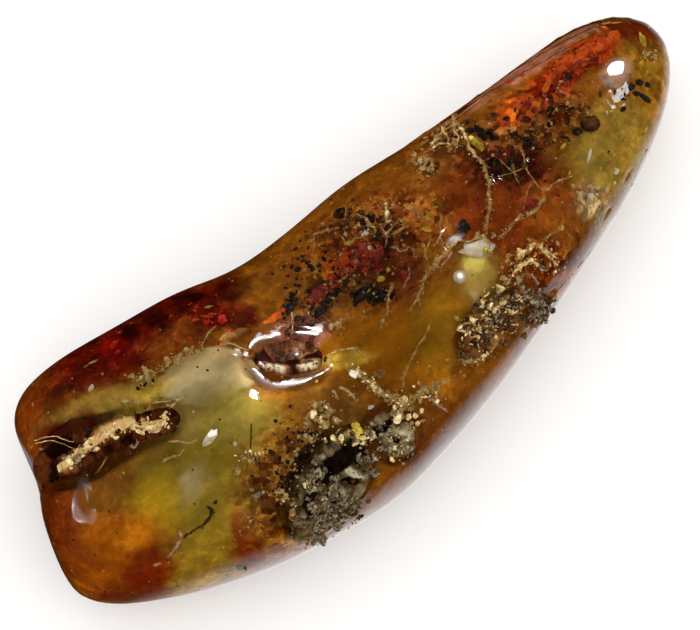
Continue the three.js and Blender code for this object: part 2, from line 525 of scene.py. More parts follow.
@dataclass(frozen=True)
class CloudyResin:
    """Resin clouded by minute bubbles and flakes: soft milky depth without gloss, in blended colours."""

    name: str = "fossil_resin_cloudy"
    ground: str = "#6a3c0a"
    cover_mm: float = 1.2
    swirls_mm: tuple[tuple[float, float], ...] = ((2.8, 0.9), (0.7, 0.3))
    flow_mm: float = 1.8
    flow_turn_deg: float = 12.0
    flow_stretch: float = 0.35
    vein_mm: float = 1.1
    vein_tint: tuple[float, float, float] = (0.62, 0.42, 0.3)
    dust_mm: float = 0.5
    flake_mm: float = 0.32
    flake_warp_mm: float = 0.16
    plain_packed: float = 0.3
    zone_deep_mm: float = 6.0

    def build(self, zones: list[tuple[Zone, Vector]], turned: float) -> bpy.types.Material:
        """Build the material.

        Args:
            zones: each zone with its centre, in metres, from the lowest layer to the topmost.
            turned: how far the picture's right is turned from +X.

        Returns:
            The material, whose zones blend into one another along swirled edges.
        """
        material, tree, shader = new_material(self.name, {"Roughness": 0.6, "Specular IOR Level": 0.0})
        where = add_node(tree, "TexCoord").outputs["Object"]
        swirled = where
        for size_mm, reach_mm in self.swirls_mm:
            swirled = self.warped(tree, where, swirled, size_mm, reach_mm)
        ground = add_node(tree, "RGB")
        ground.outputs[0].default_value = under_amber(self.ground, self.cover_mm)
        packed = add_node(tree, "Value")
        packed.outputs[0].default_value = self.plain_packed
        colour, packed = ground.outputs[0], packed.outputs[0]
        for zone, centre in zones:
            colour, packed = self.blend(tree, swirled, colour, packed, zone, centre, turned)
        colour = self.veined(tree, swirled, colour, packed)
        colour = self.flaked(tree, where, colour, packed)
        tree.links.new(colour, shader.inputs["Base Color"])
        return material

    @staticmethod
    def warped(tree, where, moved, size_mm: float, reach_mm: float):
        """Shift places to and fro by noise.

        Args:
            tree: the node tree.
            where: the place that the noise is read at, as an output.
            moved: the place that is shifted, as an output.
            size_mm: the noise's size.
            reach_mm: how far it shifts.

        Returns:
            The shifted place, as an output.
        """
        swirl = add_node(tree, "TexNoise", {"Scale": 1 / (size_mm * MM), "Detail": 3.0}, {"Vector": where})
        centred = add_node(
            tree, "VectorMath", {1: (0.5, 0.5, 0.5)}, {0: swirl.outputs["Color"]}, operation="SUBTRACT"
        )
        shift = add_node(
            tree, "VectorMath",
            {1: (2 * reach_mm * MM,) * 3},
            {0: centred.outputs[0], 2: moved},
            operation="MULTIPLY_ADD",
        )
        return shift.outputs[0]

    def veined(self, tree, where, colour, packed):
        """Cloud a colour along the flow, and tint it deeper in veins.

        Args:
            tree: the node tree.
            where: the swirled place, as an output.
            colour: the colour so far, as an output.
            packed: how much foreign matter the resin holds, as an output.

        Returns:
            The clouded colour, as an output.
        """
        flowing = add_node(
            tree, "Mapping",
            {"Rotation": (0, 0, math.radians(self.flow_turn_deg)), "Scale": (self.flow_stretch, 1.0, 1.0)},
            {"Vector": where},
        )
        clouds = ((2.4 * self.flow_mm, 0.72, 1.3), (self.flow_mm, 0.7, 1.32), (self.dust_mm, 0.9, 1.1))
        for size_mm, low, high in clouds:
            colour = self.scaled(tree, flowing.outputs[0], colour, size_mm, low, high)
        vein = add_node(
            tree, "TexNoise",
            {"Scale": 1 / (self.vein_mm * MM), "Detail": 5.0, "Roughness": 0.55},
            {"Vector": flowing.outputs[0]},
        )
        share = add_node(
            tree, "MapRange",
            {"From Min": 0.5, "From Max": 0.66},
            {"Value": vein.outputs[0]},
            interpolation_type="SMOOTHSTEP",
        )
        share = add_node(tree, "Math", operation="MULTIPLY", links={0: share.outputs[0], 1: packed})
        tinted = add_node(
            tree, "Mix",
            {MIX_B: (*self.vein_tint, 1.0)},
            {0: share.outputs[0], MIX_A: colour},
            data_type="RGBA",
            blend_type="MULTIPLY",
        )
        return tinted.outputs[MIX_OUT]

    @staticmethod
    def scaled(tree, where, colour, size_mm: float, low: float, high: float):
        """Lighten and darken a colour by noise.

        Args:
            tree: the node tree.
            where: the place, as an output.
            colour: the colour so far, as an output.
            size_mm: the noise's size.
            low: the least factor.
            high: the greatest factor.

        Returns:
            The new colour, as an output.
        """
        cloud = add_node(
            tree, "TexNoise",
            {"Scale": 1 / (size_mm * MM), "Detail": 4.0, "Roughness": 0.5},
            {"Vector": where},
        )
        shade = add_node(
            tree, "MapRange",
            {"From Min": 0.3, "From Max": 0.7, "To Min": low, "To Max": high},
            {"Value": cloud.outputs[0]},
        )
        made = add_node(tree, "VectorMath", operation="SCALE", links={0: colour, "Scale": shade.outputs[0]})
        return made.outputs[0]

    def flaked(self, tree, where, colour, packed):
        """Pack small flakes, each of its own shade, into a colour.

        Args:
            tree: the node tree.
            where: the place, as an output.
            colour: the colour so far, as an output.
            packed: how strongly the flakes show, as an output.

        Returns:
            The new colour, as an output.
        """
        for size_mm in (2.6 * self.flake_mm, self.flake_mm):
            reach_mm = self.flake_warp_mm * size_mm / self.flake_mm
            bent = self.warped(tree, where, where, 0.8 * size_mm, reach_mm)
            cells = add_node(tree, "TexVoronoi", {"Scale": 1 / (size_mm * MM)}, {"Vector": bent})
            chance = add_node(tree, "SeparateColor", links={0: cells.outputs["Color"]})
            shade = add_node(tree, "ValToRGB", links={"Fac": chance.outputs[0]})
            stops = shade.color_ramp.elements
            for i, (at, tint) in enumerate(FLAKE_TINTS):
                stop = stops[i] if i < 2 else stops.new(at)
                stop.position = at
                stop.color = (*tint, 1.0)
            flaked = add_node(
                tree, "Mix",
                data_type="RGBA",
                blend_type="MULTIPLY",
                links={0: packed, MIX_A: colour, MIX_B: shade.outputs["Color"]},
            )
            colour = flaked.outputs[MIX_OUT]
        return colour

    def blend(self, tree, where, below, packed, zone: Zone, centre: Vector, turned: float):
        """Lay one zone over the colour so far.

        Args:
            tree: the node tree.
            where: the swirled place, as an output.
            below: the colour so far, as an output.
            packed: how strongly flakes show so far, as an output.
            zone: the zone.
            centre: its centre, in metres.
            turned: how far the picture's right is turned from +X.

        Returns:
            The blended colour and the blended strength of flakes, as outputs.
        """
        size = [half * MM for half in (*zone.half_mm, self.zone_deep_mm)]
        local = add_node(
            tree, "Mapping",
            {"Location": centre, "Rotation": (0, 0, math.radians(zone.turn_deg) + turned), "Scale": size},
            {"Vector": where},
            vector_type="TEXTURE",
        )
        reach = add_node(tree, "VectorMath", operation="LENGTH", links={0: local.outputs[0]})
        share = add_node(
            tree, "MapRange",
            {"From Min": 1 + zone.soft, "From Max": 1 - zone.soft},
            {"Value": reach.outputs["Value"]},
            interpolation_type="SMOOTHSTEP",
        ).outputs[0]
        mixed = add_node(
            tree, "Mix",
            {MIX_B: under_amber(zone.colour, self.cover_mm)},
            {0: share, MIX_A: below},
            data_type="RGBA",
        )
        if zone.packed is not None:
            packed = add_node(tree, "Mix", {3: zone.packed}, {0: share, 2: packed}).outputs[0]
        return mixed.outputs[MIX_OUT], packed


@dataclass(frozen=True)
class Swell:
    """A low bump, dip or ring on the skin's top, which catches the light."""

    what: str
    px: tuple[float, float]
    half_mm: tuple[float, float]
    height_mm: float
    turn_deg: float = 0.0
    ring: float = 0.0
    width: float = 1.0
    rough_mm: float = 0.0


@dataclass(frozen=True)
class Scuff:
    """A line along which the polish is worn, so that it catches a lamp broadly."""

    what: str
    route: tuple[tuple[float, float], ...]
    half_mm: float
    ragged: float = 0.7


class Skin:
    """The pebble's outer surface, on and under which everything else is placed."""

    voxel_mm = 0.17
    facet_rounds = 180
    edge_rounds = 3
    plain_mm = 0.05
    broken_mm = 0.14
    scuff_grain_mm = 0.35
    rough_grain_mm = 0.3

    SWELLS = (
        Swell("lip round the eye", (291, 362), (2.5, 1.5), 0.12, 8, ring=1.0, width=0.22),
        Swell("eye's floor", (292, 362), (2.0, 1.0), -0.12, 8, width=0.9),
        Swell("bulge over the lens", (205, 372), (2.6, 2.0), 0.12, 30, width=0.8),
        Swell("glare patch of the tip", (620, 94), (1.2, 1.0), 0.0, 0, width=0.9, rough_mm=0.035),
    )
    SCUFFS = (
        Scuff("crescent under the eye", ((252, 374), (259, 383), (271, 388), (286, 386), (302, 380)), 0.3),
        Scuff("crescent's thin end", ((302, 380), (314, 374), (324, 367), (331, 359)), 0.15),
        Scuff("left blob over the eye", ((259, 348), (265, 344), (272, 339)), 0.55),
        Scuff("right blob over the eye", ((296, 341), (306, 337)), 0.34),
        Scuff("right blob's tail", ((306, 337), (314, 332), (321, 328)), 0.22),
        Scuff("line left of the eye", ((231, 351), (241, 353), (251, 357)), 0.13),
        Scuff("silvery patch by the nodule", ((451, 241), (459, 232)), 0.34, 0.9),
        Scuff("worn patch of the end face", ((85, 484), (81, 498), (80, 514), (90, 516)), 0.5, 0.12),
    )

    def __init__(self, view: PhotoView) -> None:
        """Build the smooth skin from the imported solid.

        Args:
            view: the photograph's viewing angle.
        """
        self.view = view
        self.mesh = self.polished(frame["nodes"]["amber"].data)
        polygons = [tuple(p.vertices) for p in self.mesh.polygons]
        self.tree = BVHTree.FromPolygons([v.co for v in self.mesh.vertices], polygons)
        self.lodged: list[BVHTree] = []

    def polished(self, solid: bpy.types.Mesh) -> bpy.types.Mesh:
        """Take the facets off a solid and keep its pits, rims and ledges.

        Args:
            solid: the faceted mesh.

        Returns:
            A fine, smooth mesh.
        """
        mesh = MeshWork.remeshed(solid, self.voxel_mm)
        edges = MeshWork.edges(mesh)
        sharp = MeshWork.points(mesh)
        calm = MeshWork.relaxed(sharp, edges, self.facet_rounds)
        calm += MeshWork.relaxed(sharp - calm, edges, self.facet_rounds)
        lost = np.linalg.norm(sharp - calm, axis=1) / MM
        broken = smoothstep(self.plain_mm, self.broken_mm, lost)[:, None]
        broken = MeshWork.relaxed(broken, edges, 2 * self.edge_rounds)
        eased = MeshWork.relaxed(sharp, edges, self.edge_rounds)
        MeshWork.place(mesh, eased * broken + calm * (1 - broken))
        self.sculpt(mesh)
        mesh.shade_smooth()
        return mesh

    def sculpt(self, mesh: bpy.types.Mesh) -> None:
        """Raise the rings and bumps of the skin's top that the solid leaves plain."""
        points, normals = MeshWork.points(mesh), MeshWork.normals(mesh)
        frame = np.array(self.view.frame)
        facing = smoothstep(0.2, 0.6, normals @ frame[:, 2])
        height, worn = np.zeros(len(points)), np.zeros(len(points))
        for scuff in self.SCUFFS:
            away = self.view.off_route(points, scuff.route) / scuff.half_mm
            near = (away < 2.5) & (facing > 0)
            away[near] += scuff.ragged * fractal(points[near] / MM, self.scuff_grain_mm, 6, 2)
            worn = np.maximum(worn, (1 - smoothstep(0.6, 1.25, away)) * facing)
        for swell in self.SWELLS:
            reach = self.view.reach(points, swell.px, swell.half_mm, swell.turn_deg)
            share = np.exp(-(((reach - swell.ring) / swell.width) ** 2)) * facing
            height += swell.height_mm * share
            near = share > 0.02
            if swell.rough_mm:
                rough = fractal(points[near] / MM, self.rough_grain_mm, 5, 2)
                height[near] += swell.rough_mm * share[near] * rough
        MeshWork.place(mesh, points + normals * (height * MM)[:, None])
        mesh.attributes.new(WORN, "FLOAT", "POINT").data.foreach_set("value", worn)

    def at(self, px: tuple[float, float]) -> tuple[Vector, Vector] | None:
        """Find where a pixel of the photograph lands on the skin.

        Args:
            px: the pixel.

        Returns:
            The place, in metres, and the skin's normal there, or None past the pebble's edge.
        """
        place, normal, _, _ = self.tree.ray_cast(self.view.place, self.view.ray(px))
        return None if place is None else (place, normal)

    def under(self, px: tuple[float, float], depth_mm: float) -> Vector | None:
        """Find the place at some depth under a pixel, along the bent line of sight or in lodged matter.

        Args:
            px: the pixel.
            depth_mm: how deep, along that line; above the skin if negative.

        Returns:
            The place, in metres, or None past the pebble's edge.
        """
        found = self.at(px)
        if found is None:
            return None
        place, normal = found
        sight = self.view.ray(px)
        near = (place - self.view.place).length
        for tree in self.lodged:
            top = tree.ray_cast(self.view.place, sight, near)[0]
            if top is not None:
                return top + sight * depth_mm * MM
        ratio = 1 / AMBER_IOR
        facing = -normal.dot(sight)
        bend = ratio * facing - math.sqrt(1 - ratio**2 * (1 - facing**2))
        return place + (sight * ratio + normal * bend).normalized() * depth_mm * MM


class AmberBody:
    """The clear resin itself."""

    def __init__(self, skin: Skin) -> None:
        """Dress the skin as polished amber, in place of the faceted solid."""
        finish = PolishedAmber().build()
        self.piece = piece_of("amber_skin", skin.mesh, finish)
        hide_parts("amber")


@dataclass
class CloudyFlow:
    """The cloudy resin that fills the pebble's heart and leaves its rims clear."""

    skin: Skin
    voxel_mm: float = 0.35
    cover_mm: float = 1.1
    wander_mm: float = 0.6
    wander_size_mm: float = 5.0
    least_cover_mm: float = 0.35
    calm_rounds: int = 6

    ZONES = (
        Zone("brown left lobe", (60, 390), (2.8, 2.2), "#552e07", 45),
        Zone("orange-red flank", (38, 410), (1.1, 1.2), "#76320b"),
        Zone("brown under the red", (100, 372), (3.2, 1.4), "#5c360d", 30),
        Zone("red zone", (140, 332), (7.4, 2.3), "#4c0e02", 30, 0.3, -0.2, 0.55),
        Zone("red glow left", (116, 347), (1.1, 1.0), "#640a04", 30),
        Zone("dark place one", (131, 334), (0.7, 0.6), "#240401", 0, 0.35),
        Zone("dark place two", (156, 322), (0.85, 0.75), "#200401", 0, 0.35),
        Zone("dark place three", (187, 303), (1.2, 0.8), "#260401", 30, 0.35),
        Zone("dark place four", (236, 288), (1.5, 0.8), "#2c0501", 30, 0.35),
        Zone("orange-brown in the red", (172, 340), (1.7, 0.9), "#743a0e", 30),
        Zone("red right", (226, 316), (1.4, 0.8), "#560a04", 20),
        Zone("dark under the red", (245, 318), (0.9, 1.0), "#3c1206", 20),
        Zone("green body", (200, 470), (4.8, 4.4), "#766016", 0, 0.5, 0.1, 0.1),
        Zone("yellow-green streak", (112, 399), (3.9, 0.8), "#94742a", 21, 0.5, 0, 0.2),
        Zone("milky lens", (207, 374), (2.9, 1.8), "#d0b270", 12, 0.08, 0.3, 0.0),
        Zone("bright yellow", (150, 390), (1.6, 0.75), "#dca82c", 22, 0.5, 0.2, 0.25),
        Zone("lens flake", (232, 337), (0.95, 0.34), "#8c6838", 28, 0.25, 0.4, 0.6),
        Zone("green under the lens", (238, 412), (3.0, 1.6), "#7c6a26", -14, 0.5, 0, 0.1),
        Zone("green left of the lens", (178, 424), (1.4, 1.3), "#84692a", 20, 0.5),
        Zone("brown by the cleft's end", (150, 452), (2.2, 0.8), "#6c4e10", 20, 0.5),
        Zone("red-brown over the cleft", (70, 428), (2.5, 0.75), "#642408", 14, 0.4, 0, 0.2),
        Zone("brown below the cleft", (112, 456), (2.4, 0.6), "#6a3c10", 28, 0.5),
        Zone("orange-brown at the cleft's end", (152, 413), (0.9, 0.5), "#8e4e12", 20, 0.5),
        Zone("yellow clearing", (157, 497), (1.6, 1.6), "#967210", 0, 0.5),
        Zone("pale haze", (193, 478), (1.1, 0.7), "#94804a", 60, 0.7),
        Zone("brown by the left wall", (108, 478), (1.6, 1.6), "#684010", 20, 0.5),
        Zone("olive foot", (196, 552), (3.1, 1.4), "#80691a", 22),
        Zone("orange zone", (116, 545), (2.9, 1.8), "#863c04", 10, 0.5, 0, 0.2),
        Zone("bright orange", (131, 533), (1.2, 0.6), "#b45c08", 5, 0.7),
        Zone("deep red-brown", (148, 560), (1.6, 1.2), "#561a02", 25, 0.4),
        Zone("left wall", (62, 530), (1.5, 4.2), "#521f04", 10),
        Zone("brown foot", (100, 592), (3.4, 1.1), "#4e1c08", 5),
        Zone("red-brown patch", (242, 528), (1.0, 1.35), "#5c1e03", 5, 0.3, 0.2),
        Zone("dirty brown", (292, 480), (2.8, 3.9), "#765420", -35, 0.5, 0.2, 0.9),
        Zone("dark dirt", (290, 498), (1.4, 2.0), "#5a380d", -30, 0.5, 0.2, 1.0),
        Zone("honey below the eye", (325, 404), (2.8, 1.5), "#5c3c12", -20, 0.5, 0, 0.3),
        Zone("far slope", (292, 255), (3.2, 2.0), "#6c3e0c", 40),
        Zone("golden centre", (388, 345), (3.2, 2.2), "#804a05", 10, 0.6, -0.4, 0.1),
        Zone("orange gleam", (440, 376), (0.9, 0.6), "#a05c0c", 20, 0.6),
        Zone("olive centre", (437, 325), (1.6, 2.6), "#7c5009", -20, 0.6, 0, 0.1),
        Zone("debris brown", (380, 232), (4.4, 2.5), "#7c4418", 20, 0.5, 0.2, 0.95),
        Zone("debris foot", (340, 292), (3.2, 1.4), "#684016", 20, 0.5, 0.1, 0.8),
        Zone("red spot", (368, 256), (1.3, 1.2), "#681c10", 0, 0.4, 0.2, 0.8),
        Zone("dark right of the red", (404, 266), (1.2, 1.9), "#5c2c10", 20),
        Zone("crown brown", (446, 152), (2.2, 1.6), "#6a4016", 20, 0.5, 0.1, 0.8),
        Zone("red-brown under the crown", (468, 190), (1.8, 2.2), "#562406", 10, 0.5),
        Zone("tip brown", (530, 120), (3.6, 1.9), "#70401a", 33, 0.5, 0.2, 1.0),
        Zone("orange in the tip", (512, 110), (1.0, 0.8), "#9c3e0c", 33, 0.5),
        Zone("dark hollow", (514, 168), (2.8, 1.7), "#42160a", -15, 0.4, 0.1, 0.8),
        Zone("red-brown right", (500, 216), (2.7, 1.9), "#6e2c0a", 30, 0.4, 0, 0.3),
        Zone("orange right", (550, 204), (1.5, 1.4), "#86420f", 20, 0.5, 0, 0.4),
        # Painted reflection: the pinkish band stands in for white light mirrored along the far ledge
        Zone("ledge band", (530, 66), (6.4, 0.7), "#b26a58", 35, 0.5),
        Zone("scale zone", (572, 66), (3.6, 1.0), "#8c2a08", 37, 0.3, 0.2, 0.8),
        Zone("olive tip", (649, 66), (1.3, 2.8), "#7a5818", 8, 0.5, 0, 0.5),
        Zone("brown tip end", (628, 27), (2.3, 1.1), "#4a1804", -12, 0.4),
        Zone("yellow-green right", (612, 140), (3.5, 2.2), "#8e7026", 55, 0.35, 0.1, 0.25),
        Zone("star milk", (590, 200), (1.2, 0.9), "#a9905e", 0, 0.6, 0.1, 0.5),
        Zone("rim brown", (572, 252), (2.2, 1.2), "#6c3c14", 50, 0.5, 0, 0.6),
        Zone("brown round the lump", (536, 254), (1.9, 1.4), "#6a300c", 20, 0.5, 0.2, 0.9),
        Zone("crust ground", (488, 322), (1.9, 1.2), "#84521c", 50, 0.5, 0.2, 0.9),
        Zone("nodule halo", (478, 272), (1.3, 1.7), "#96702a", 0, 0.6, 0.4, 0.0),
        Zone("nodule's sphere", (488, 276), (0.75, 0.8), "#8a6824", 0, 0.15, 0.3, 0.0),
        Zone("nodule's yellow", (474, 260), (0.85, 0.75), "#e4c440", 20, 0.35, 0.5, 0.1),
        Zone("nodule's white", (478, 249), (0.8, 0.5), "#ffe8bc", 15, 0.3, 0.4, 0.0),
        Zone("little ball", (471, 292), (0.36, 0.34), "#a08048", 0, 0.4, 0.3, 0.0),
        Zone("near rim brown", (436, 438), (1.5, 3.6), "#4a260a", -40),
        Zone("yellow by the eye", (350, 357), (1.5, 0.6), "#b48c26", 12, 0.4, 0.2, 0.2),
        # Partly painted glare: a purplish cast that stands in for the bluish glare round the eye's highlight,
        # over the resin's own brown
        Zone("purple behind the eye", (300, 330), (2.0, 0.7), "#5e3a36", 15, 0.5, 0.2, 0.8),
    )

    def build(self) -> bpy.types.Object:
        """Draw the skin inwards by an uneven cover and colour it by zones."""
        placed = [(zone, self.skin.at(zone.px)[0]) for zone in self.ZONES]
        turned = math.radians(self.skin.view.azimuth_deg)
        mesh = MeshWork.remeshed(self.skin.mesh, self.voxel_mm)
        points, normals = MeshWork.points(mesh), MeshWork.normals(mesh)
        cover = self.cover_mm + self.wander_mm * fractal(points / MM, self.wander_size_mm, 1)
        for zone, centre in placed:
            cover -= zone.rise_mm * self.share(points, zone, centre, turned)
        points -= normals * (np.maximum(cover, self.least_cover_mm) * MM)[:, None]
        MeshWork.place(mesh, points)
        mesh = MeshWork.remeshed(mesh, self.voxel_mm)
        calm = MeshWork.relaxed(MeshWork.points(mesh), MeshWork.edges(mesh), self.calm_rounds)
        MeshWork.place(mesh, calm)
        mesh.shade_smooth()
        return piece_of("cloudy_resin", mesh, CloudyResin().build(placed, turned))

    @staticmethod
    def share(points: np.ndarray, zone: Zone, centre: Vector, turned: float) -> np.ndarray:
        """Measure how far inside a zone each point is.

        Args:
            points: the points, in metres.
            zone: the zone.
            centre: its centre, in metres.
            turned: how far the picture's right is turned from +X.

        Returns:
            1 at its middle, falling to 0 outside.
        """
        turn = math.radians(zone.turn_deg) + turned
        offset = (points[:, :2] - np.array(centre[:2])) / MM
        along = (offset[:, 0] * math.cos(turn) + offset[:, 1] * math.sin(turn)) / zone.half_mm[0]
        across = (offset[:, 1] * math.cos(turn) - offset[:, 0] * math.sin(turn)) / zone.half_mm[1]
        return 1 - smoothstep(0.5, 1.3, np.hypot(along, across))


# Bits longer than this are drawn finer
FINE_MM = 0.12

# How the bits of one strew vary in size, which most often are small
SIZES = (0.35, 0.45, 0.55, 0.65, 0.8, 1.0, 1.35, 1.8)

# The sizes of stray bits
STRAY_SIZES = (0.5, 0.7, 1.0, 1.4)

# How far each axis of a strewn bit may be from its form's
STRETCH = (0.6, 1.35)

# How far bits lean out of the picture's plane, in degrees, if single or strewn
SINGLE_LEAN, STREWN_LEAN = 8, 60

# Bits that stray this much from a ball are broken in facets
BROKEN_JAG = 0.45

# A lodged surface's paleness, from 0 to 1, and how much painted shade its lumps and its grit add: paler where
# they rise, darker where they sink
LODGED_PALE, LUMPS_PAINTED_SHADE, GRIT_PAINTED_SHADE = 0.42, 0.22, 0.1


class Form(Enum):
    """Shapes of bits, as how far each reaches along, across and through itself."""

    LUMP = (1.0, 0.8, 0.7)
    FLAKE = (1.0, 0.7, 0.16)
    SPLINTER = (1.0, 0.26, 0.2)
    BALL = (1.0, 1.0, 1.0)


LUMP, FLAKE, SPLINTER, BALL = Form


@dataclass(frozen=True)
class Strew:
    """Bits of one form, strewn about a place in the photograph or laid singly there."""

    what: str
    px: tuple[float, float]
    long_mm: float
    count: int
    spread_px: tuple[float, float]
    spread_turn_deg: float = 0.0
    turn_deg: float = 0.0
    depth_mm: tuple[float, float] = (0.2, 0.7)
    width: float = 1.0
    jag: float = 0.5
    level: int = 1
    form: Form = LUMP


def bit(what: str, px: tuple[float, float], long_mm: float, *look: object, **more: object) -> Strew:
    """Lay a single bit, whose look is its turn, its depth and whatever else a Strew can have."""
    return Strew(what, px, long_mm, 1, (0.0, 0.0), 0.0, *look, **more)


# Makers of flat bits: many, and one
flakes = partial(Strew, form=FLAKE)
flake = partial(bit, form=FLAKE)


@dataclass(frozen=True)
class Strand:
    """A rootlet, fibre or ridge that follows places in the photograph."""

    what: str
    route: tuple[tuple[float, float], ...]
    radius_mm: float
    depth_mm: float = 0.5
    wander_mm: float = 0.12
    knots: float = 0.4
    hairs: int = 0
    taper: float = 0.35
    hair_mm: float = 0.3
    grit_per_mm: float = 14.0


@dataclass(frozen=True)
class Everywhere:
    """Bits spread evenly under the whole skin."""

    what: str
    count: int
    long_mm: float
    form: Form = LUMP
    depth_mm: tuple[float, float] = (0.15, 0.9)
    jag: float = 0.5


class Heap:
    """Gathers many small closed shapes into one mesh."""

    def __init__(self, seed: int) -> None:
        """Start empty, with its own repeatable chances."""
        self.chance = random.Random(seed)
        self.points: list[np.ndarray] = []
        self.faces: list[list[int]] = []
        self.rounded: list[bool] = []
        self.count = 0

    def add(self, points: np.ndarray, faces: list[tuple[int, ...]], rounded: bool = True) -> None:
        """Add a shape from its own points and faces, rounded or broken in facets."""
        self.faces += [[i + self.count for i in face] for face in faces]
        self.rounded += [rounded] * len(faces)
        self.points.append(points)
        self.count += len(points)

    def lump(self, centre: Vector, axes: np.ndarray, jag: float, level: int) -> None:
        """Add an uneven ball.

        Args:
            centre: its middle, in metres.
            axes: its three half axes as rows, in metres.
            jag: how far its surface strays, as a share of its radius.
            level: how finely it is divided.
        """
        ball, faces = unit_ball(level)
        shift = Vector([self.chance.uniform(-99, 99) for _ in range(3)])
        reach = np.array([1 + jag * noise.noise(Vector(p) * 1.9 + shift) for p in ball])
        self.add((ball * reach[:, None]) @ axes + np.array(centre), faces, jag < BROKEN_JAG)

    def tube(self, path: np.ndarray, radii: np.ndarray, sides: int = 6) -> None:
        """Add a closed tube along a path.

        Args:
            path: the points of its centreline, in metres.
            radii: its radius at each of them, in metres.
            sides: how many sides it has.
        """
        along = np.gradient(path, axis=0)
        along /= np.linalg.norm(along, axis=1)[:, None] + 1e-12
        side = np.cross(along, np.array([0.31, 0.52, 0.79]))
        side /= np.linalg.norm(side, axis=1)[:, None] + 1e-12
        other = np.cross(along, side)
        turns = np.linspace(0, 2 * math.pi, sides, endpoint=False)
        ring = side[:, None] * np.cos(turns)[None, :, None] + other[:, None] * np.sin(turns)[None, :, None]
        points = (path[:, None] + ring * radii[:, None, None]).reshape(-1, 3)
        last = (len(path) - 1) * sides
        faces = [
            (row + i, row + (i + 1) % sides, row + sides + (i + 1) % sides, row + sides + i)
            for row in range(0, last, sides)
            for i in range(sides)
        ]
        caps = [tuple(range(sides))[::-1], tuple(range(last, last + sides))]
        self.add(points, faces + caps)

    def mesh(self, name: str) -> bpy.types.Mesh:
        """Turn the heap into a mesh."""
        made = bpy.data.meshes.new(name)
        made.from_pydata(np.concatenate(self.points).tolist(), [], self.faces)
        made.polygons.foreach_set("use_smooth", self.rounded)
        return made


@cache
def unit_ball(level: int) -> tuple[np.ndarray, list[tuple[int, ...]]]:
    """Make a ball of triangles, of radius 1.

    Args:
        level: how finely it is divided, from 1.

    Returns:
        Its points and its faces.
    """
    shape = bmesh.new()
    bmesh.ops.create_icosphere(shape, subdivisions=level, radius=1.0)
    points = np.array([v.co[:] for v in shape.verts])
    faces = [tuple(v.index for v in face.verts) for face in shape.faces]
    shape.free()
    return points, faces


